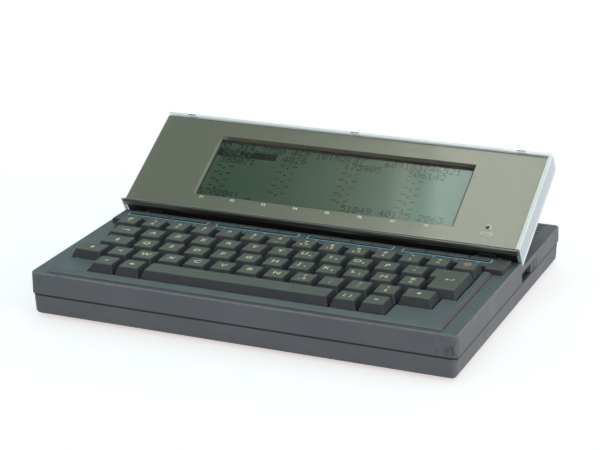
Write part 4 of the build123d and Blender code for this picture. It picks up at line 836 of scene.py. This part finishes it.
def add_brackets():
    """Three light-blue lines round each group of four bar keys, and a number in front of each key."""
    made = []
    line = BRACKET_LINE
    for group in range(BAR_GROUPS):
        x = BAR_GROUP_CENTRE_X + BAR_GROUP_PITCH * (group - (BAR_GROUPS - 1) / 2)
        left, right = x - BRACKET_HALF_WIDTH, x + BRACKET_HALF_WIDTH
        front, back = BRACKET_FRONT_Y, BRACKET_BACK_Y
        outline = [
            (left, back), (left, front), (right, front), (right, back), (right - line, back),
            (right - line, front + line), (left + line, front + line), (left + line, back),
        ]
        made.append(drawn(outline, Vector((0.0, 0.0, STRIP_TOP_Z)) * MM))
        for bar in range(BARS_PER_GROUP):
            bar_x = x + BAR_PITCH * (bar - (BARS_PER_GROUP - 1) / 2)
            number = str(group * BARS_PER_GROUP + bar + 1)
            made.append(printed(number, BAR_NUMBER_SIZE, Vector((bar_x, BAR_NUMBER_Y, STRIP_TOP_Z)) * MM))
    brackets = joined(made, "bar_key_brackets", "blue_ink")
    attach(brackets, "base")


# Printing on the display panel

CELL_OUTLINE = [
    (-4.0, -1.2), (4.0, -1.2), (4.0, -0.5), (4.7, -0.5), (4.7, 0.5), (4.0, 0.5), (4.0, 1.2), (-4.0, 1.2),
    (-4.0, -1.19), (-3.6, -0.8), (-3.6, 0.8), (3.6, 0.8), (3.6, -0.8), (-3.6, -0.81),
]


def add_panel_printing():
    """F1 to F8 under the window, and a small cell symbol by the lamp."""
    made = []
    for i in range(LABELS):
        place = on_panel(FIRST_LABEL + LABEL_PITCH * i, LABEL_HEIGHT, PRINT_LIFT)
        made.append(printed(f"F{i + 1}", LABEL_SIZE, place, PANEL_TILT))
    across, up = LED_PLACE
    made.append(drawn(CELL_OUTLINE, on_panel(across, up - CELL_SYMBOL_DROP, PRINT_LIFT), PANEL_TILT))
    printing = joined(made, "panel_printing", "white_ink")
    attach(printing, "display")


def add_lamp_ring_highlight():
    """The bright rim of the battery lamp's hole, made only on its upper right half as a painted highlight,
    where the rim catches the light.
    """
    deselect_all()
    across, up = LED_PLACE
    bpy.ops.mesh.primitive_torus_add(
        major_radius=RING_RADIUS * MM, minor_radius=RING_HALF_THICKNESS * MM,
        major_segments=40, minor_segments=10,
    )
    ring = bpy.context.object
    delete_faces(ring, lambda face: face.center.x + face.center.y < RING_OPENING * MM)
    bpy.ops.object.mode_set(mode="EDIT")
    bpy.ops.mesh.select_mode(type="EDGE")
    bpy.ops.mesh.select_all(action="DESELECT")
    bpy.ops.mesh.select_non_manifold()
    bpy.ops.mesh.fill()
    bpy.ops.mesh.select_mode(type="FACE")
    bpy.ops.object.mode_set(mode="OBJECT")
    ring.location = on_panel(across, up, PRINT_LIFT)
    ring.rotation_euler = (math.radians(PANEL_TILT), 0.0, 0.0)
    bpy.ops.object.transform_apply(location=True, rotation=True, scale=True)
    bpy.ops.object.shade_smooth_by_angle()
    ring = joined([ring], "lamp_ring_highlight", "ring")
    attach(ring, "display")


def rectangle(half_x, half_y):
    """The corners of a rectangle round the origin."""
    return [(-half_x, -half_y), (half_x, -half_y), (half_x, half_y), (-half_x, half_y)]


def add_seal_and_shadow():
    """A black frame on the glass inside the window: a seal, made wide enough to be painted shadow at the foot
    of the window's walls as well.
    """
    half_x = WINDOW_WIDTH / 2 - GASKET_FIT
    half_y = (WINDOW_TOP - WINDOW_BOTTOM) / 2 - GASKET_FIT
    middle = on_panel(WINDOW_CENTRE, (WINDOW_TOP + WINDOW_BOTTOM) / 2, GLASS_FACE + GASKET_FIT)
    inner = rectangle(half_x - GASKET_SIDE, half_y - GASKET_END)
    black_seal_and_shade = drawn(rectangle(half_x, half_y), middle, PANEL_TILT, inner)
    black_seal_and_shade = joined([black_seal_and_shade], "lcd_seal_and_shadow", "black_seal_and_shade")
    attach(black_seal_and_shade, "display")


def shaped_box(low, high, rounding):
    """A box between two corners in millimetres, with rounded edges, its scale applied."""
    deselect_all()
    middle = [(a + b) / 2 * MM for a, b in zip(low, high)]
    bpy.ops.mesh.primitive_cube_add(size=1.0, location=middle)
    box = bpy.context.object
    box.scale = [(b - a) * MM for a, b in zip(low, high)]
    bpy.ops.object.transform_apply(location=True, rotation=True, scale=True)
    bpy.ops.object.mode_set(mode="EDIT")
    bpy.ops.mesh.select_all(action="SELECT")
    bpy.ops.mesh.bevel(offset=rounding * MM, segments=3, affect="EDGES")
    bpy.ops.object.mode_set(mode="OBJECT")
    bpy.ops.object.shade_smooth_by_angle()
    return box


def add_lower_edge():
    """The rounded edge under the display panel, which closes the gap between the cover and the tray."""
    edge = shaped_box(*LOWER_EDGE_BOX, LOWER_EDGE_ROUND)
    turn = Matrix.Rotation(math.radians(PANEL_TILT), 4, "X")
    edge.data.transform(Matrix.Translation(Vector(PANEL_ORIGIN) * MM) @ turn)
    edge = joined([edge], "display_lower_edge", "edge")
    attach(edge, "display")


def add_seam_shadow():
    """A black strip at the bottom of the groove between the two halves of the case, as painted shadow in the
    groove.
    """
    deselect_all()
    low, high = SEAM_Z
    bpy.ops.mesh.primitive_cube_add(size=1.0, location=(0.0, 0.0, (low + high) / 2 * MM))
    strip = bpy.context.object
    strip.scale = (2 * SEAM_HALF_WIDTH * MM, 2 * SEAM_HALF_DEPTH * MM, (high - low) * MM)
    bpy.ops.object.transform_apply(location=True, rotation=True, scale=True)
    for edge in strip.data.edges:
        first, second = (strip.data.vertices[i].co for i in edge.vertices)
        edge.select = abs(first.z - second.z) > (high - low) / 2 * MM
    for face in strip.data.polygons:
        face.select = False
    bpy.ops.object.mode_set(mode="EDIT")
    bpy.ops.mesh.select_mode(type="EDGE")
    bpy.ops.mesh.bevel(offset=SEAM_CORNER * MM, segments=6, affect="EDGES")
    bpy.ops.object.mode_set(mode="OBJECT")
    delete_faces(strip, lambda face: abs(face.normal.z) > 0.9)
    wall = strip.modifiers.new("wall", "SOLIDIFY")
    wall.thickness = SEAM_WALL * MM
    wall.offset = 1.0
    bpy.ops.object.modifier_apply(modifier="wall")
    strip = joined([strip], "case_seam_shadow", "black_seal_and_shade")
    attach(strip, "base")


# The dots of the LCD

DOT_SHAPES = {
    "0": "01110 10001 10011 10101 11001 10001 01110",
    "1": "00100 01100 00100 00100 00100 00100 01110",
    "2": "01110 10001 00001 00010 00100 01000 11111",
    "3": "11111 00010 00100 00010 00001 10001 01110",
    "4": "00010 00110 01010 10010 11111 00010 00010",
    "5": "11111 10000 11110 00001 00001 10001 01110",
    "6": "00110 01000 10000 11110 10001 10001 01110",
    "7": "11111 00001 00010 00100 01000 01000 01000",
    "8": "01110 10001 10001 01110 10001 10001 01110",
    "9": "01110 10001 10001 01111 00001 00010 01100",
    "-": "00000 00000 00000 11111 00000 00000 00000",
    ".": "00000 00000 00000 00000 00000 01100 01100",
    ":": "00000 01100 01100 00000 01100 01100 00000",
    "_": "00000 00000 00000 00000 00000 00000 11111",
}
LCD_LINES = [
    (0, 0, "02 314.2750 468 10:52:37   609183746521"),
    (1, 11, "4826"), (1, 21, "173905"), (1, 31, "506142"),
    (2, 1, "395071"),
    (7, 0, "670284: _"), (7, 23, "51849 40175 2863"),
]
ENTRY_LINES = range(2, 7)
ENTRY_COLUMNS = (0, 10, 20, 30)
BAR_DIGITS = "80427"
BAR_CHARACTERS = 10


def dot_grid(columns, rows, is_light):
    """A flat grid of square dots without those that a test of column and row calls light."""
    deselect_all()
    bpy.ops.mesh.primitive_grid_add(x_subdivisions=columns, y_subdivisions=rows, size=1.0)
    grid = bpy.context.object
    grid.scale = (columns * DOT * MM, rows * DOT * MM, 1.0)
    bpy.ops.object.transform_apply(location=True, rotation=True, scale=True)

    def unwanted(face):
        column = math.floor(face.center.x / (DOT * MM) + columns / 2)
        row = math.floor(rows / 2 - face.center.y / (DOT * MM))
        return is_light(column, row)

    delete_faces(grid, unwanted)
    return grid


def dot_shape(character):
    """One character as a mesh of its dark dots."""
    rows = DOT_SHAPES[character].split()
    return dot_grid(len(rows[0]), len(rows), lambda column, row: rows[row][column] == "0")


def lcd_place(line, column):
    """The middle of a character's cell on the LCD."""
    across = LCD_LEFT + (column + 0.5) * CHARACTER_COLUMNS * DOT
    up = LCD_TOP - (line + 0.5) * CHARACTER_ROWS * DOT
    return on_panel(across, up, GLASS_FACE + DOT_LIFT)


def add_lcd_dots():
    """Rows of digits, dashes and one dark bar, all of them plain numbers."""
    shapes = {}
    made = []
    turn = Matrix.Rotation(math.radians(PANEL_TILT), 4, "X")

    def place_character(character, line, column):
        if character == " ":
            return
        if character not in shapes:
            shapes[character] = dot_shape(character)
        copy = shapes[character].copy()
        copy.data = shapes[character].data.copy()
        copy.data.transform(Matrix.Translation(lcd_place(line, column)) @ turn)
        bpy.context.scene.collection.objects.link(copy)
        made.append(copy)

    for line, column, words in LCD_LINES:
        for i, character in enumerate(words):
            place_character(character, line, column + i)
    for line in ENTRY_LINES:
        for column in ENTRY_COLUMNS:
            has_digits = line == ENTRY_LINES[0] and column == ENTRY_COLUMNS[0]
            for shift, character in enumerate("" if has_digits else "-.-", start=1):
                place_character(character, line, column + shift)
    made.append(marked_bar())
    dots = joined(made, "lcd_dots", "crystal")
    for shape in shapes.values():
        bpy.data.objects.remove(shape)
    deselect_all()
    dots.select_set(True)
    bpy.context.view_layer.objects.active = dots
    bpy.ops.object.mode_set(mode="EDIT")
    bpy.ops.mesh.select_all(action="SELECT")
    bpy.ops.mesh.remove_doubles(threshold=0.00001)
    bpy.ops.object.mode_set(mode="OBJECT")
    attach(dots, "display")


def marked_bar():
    """The dark bar that marks the first entry, with light digits left open in it."""
    light = set()
    for i, character in enumerate(BAR_DIGITS, start=1):
        for row, cells in enumerate(DOT_SHAPES[character].split()):
            for column, cell in enumerate(cells, start=1):
                if cell == "1":
                    light.add((i * CHARACTER_COLUMNS + column, row))
    columns = BAR_CHARACTERS * CHARACTER_COLUMNS
    bar = dot_grid(columns, CHARACTER_ROWS, lambda column, row: (column, row) in light)
    middle = lcd_place(1, BAR_CHARACTERS / 2 - 0.5)
    turn = Matrix.Rotation(math.radians(PANEL_TILT), 4, "X")
    bar.data.transform(Matrix.Translation(middle) @ turn)
    return bar


# Stage, lights and camera

def add_stage():
    """A white floor that keeps the object's shadow."""
    deselect_all()
    bpy.ops.mesh.primitive_plane_add(size=12.0, location=(0.0, 0.0, 0.0))
    floor = bpy.context.object
    floor.name = "floor"
    material = bpy.data.materials.new("white_floor")
    material.use_nodes = True
    tree = material.node_tree
    shader = tree.nodes["Principled BSDF"]
    shader.inputs["Base Color"].default_value = (0.8, 0.8, 0.8, 1.0)
    shader.inputs["Roughness"].default_value = 0.9
    shader.inputs["Emission Strength"].default_value = 1.0
    rays = tree.nodes.new("ShaderNodeLightPath")
    seen = arithmetic(tree, "ADD", rays.outputs["Is Camera Ray"], rays.outputs["Is Glossy Ray"], clamp=True)
    seen = arithmetic(tree, "ADD", seen, rays.outputs["Is Transmission Ray"], clamp=True)
    glow = mixed(tree, seen, BLACK, (0.59, 0.54, 0.53, 1.0))
    tree.links.new(glow, shader.inputs["Emission Color"])
    floor.data.materials.append(material)


def add_world():
    """Even light all round, a white background for the camera, and a ceiling that the panel mirrors."""
    world = bpy.data.worlds.new("studio")
    bpy.context.scene.world = world
    world.use_nodes = True
    tree = world.node_tree
    background = tree.nodes["Background"]
    rays = tree.nodes.new("ShaderNodeLightPath")
    x, _, z = axes(tree, tree.nodes.new("ShaderNodeTexCoord").outputs["Generated"])
    overhead = between(tree, z, 0.15, 0.75)
    sky = mixed(tree, overhead, (0.52, 0.66, 0.7, 1.0), (0.4, 0.44, 0.4, 1.0))
    slope = between(tree, x, *CEILING_SLOPE)
    ceiling = mixed(tree, slope, (0.03, 0.04, 0.04, 1.0), (1.9, 1.95, 1.7, 1.0))
    starts, full, ends, gone = CEILING_STRIPE
    stripe = both(tree, between(tree, x, starts, full), between(tree, x, gone, ends))
    ceiling = mixed(tree, stripe, ceiling, (3.2, 3.2, 2.5, 1.0))
    ceiling = mixed(tree, between(tree, x, *CEILING_WINDOW), ceiling, (4.3, 4.4, 3.9, 1.0))
    mirrored = mixed(tree, between(tree, z, 0.7, 0.86), sky, ceiling)
    lit = mixed(tree, overhead, (1.12, 1.08, 1.1, 1.0), (0.2, 0.37, 0.4, 1.0))
    glossy = arithmetic(
        tree, "ADD", rays.outputs["Is Glossy Ray"], rays.outputs["Is Transmission Ray"], clamp=True
    )
    shade = mixed(tree, glossy, lit, mirrored)
    seen = mixed(tree, rays.outputs["Is Camera Ray"], shade, (1.0, 1.0, 1.0, 1.0))
    tree.links.new(seen, background.inputs["Color"])


def add_lamp(name, place, target, size, power, tint):
    """A rectangular soft box at a place, turned to a target."""
    deselect_all()
    bpy.ops.object.light_add(type="AREA", location=place)
    lamp = bpy.context.object
    lamp.name = name
    lamp.data.shape = "RECTANGLE"
    lamp.data.size, lamp.data.size_y = size
    lamp.data.energy = power
    lamp.data.color = tint
    direction = Vector(target) - Vector(place)
    lamp.rotation_euler = direction.to_track_quat("-Z", "Y").to_euler()
    return lamp


def add_lamps():
    """A soft box overhead, which nothing mirrors, and one low at the right."""
    overhead = add_lamp(
        "overhead", (-0.16, 0.27, 1.5), (-0.16, 0.27, 0.0), (0.5, 0.9), 1.5, (0.86, 0.98, 1.0)
    )
    overhead.visible_glossy = False
    add_lamp("right", (1.6, -0.3, 0.35), (0.0, 0.0, 0.02), (0.9, 0.6), 8.0, (1.0, 0.95, 0.98))


def add_camera():
    """The photograph's view."""
    azimuth, elevation, roll = map(math.radians, (CAMERA_AZIMUTH, CAMERA_ELEVATION, CAMERA_ROLL))
    back = Vector((
        math.sin(azimuth) * math.cos(elevation), -math.cos(azimuth) * math.cos(elevation), math.sin(elevation)
    ))
    right = (-back).cross(Vector((0.0, 0.0, 1.0))).normalized()
    up = right.cross(-back)
    rolled_right = right * math.cos(roll) + up * math.sin(roll)
    rolled_up = -right * math.sin(roll) + up * math.cos(roll)
    lens = bpy.data.cameras.new("camera")
    lens.lens = CAMERA_LENS
    lens.sensor_width = SENSOR_WIDTH
    lens.clip_end = 50.0
    camera = bpy.data.objects.new("camera", lens)
    bpy.context.scene.collection.objects.link(camera)
    matrix = Matrix((rolled_right, rolled_up, back)).transposed().to_4x4()
    matrix.translation = (Vector(CAMERA_LOOK_AT) + back * CAMERA_DISTANCE) * MM
    camera.matrix_world = matrix
    bpy.context.scene.camera = camera


deselect_all()
dress_nodes()
add_legends()
add_brackets()
add_panel_printing()
add_lamp_ring_highlight()
add_seal_and_shadow()
add_lower_edge()
add_seam_shadow()
add_lcd_dots()
add_stage()
add_world()
add_lamps()
add_camera()
bpy.context.scene.view_settings.view_transform = "Standard"
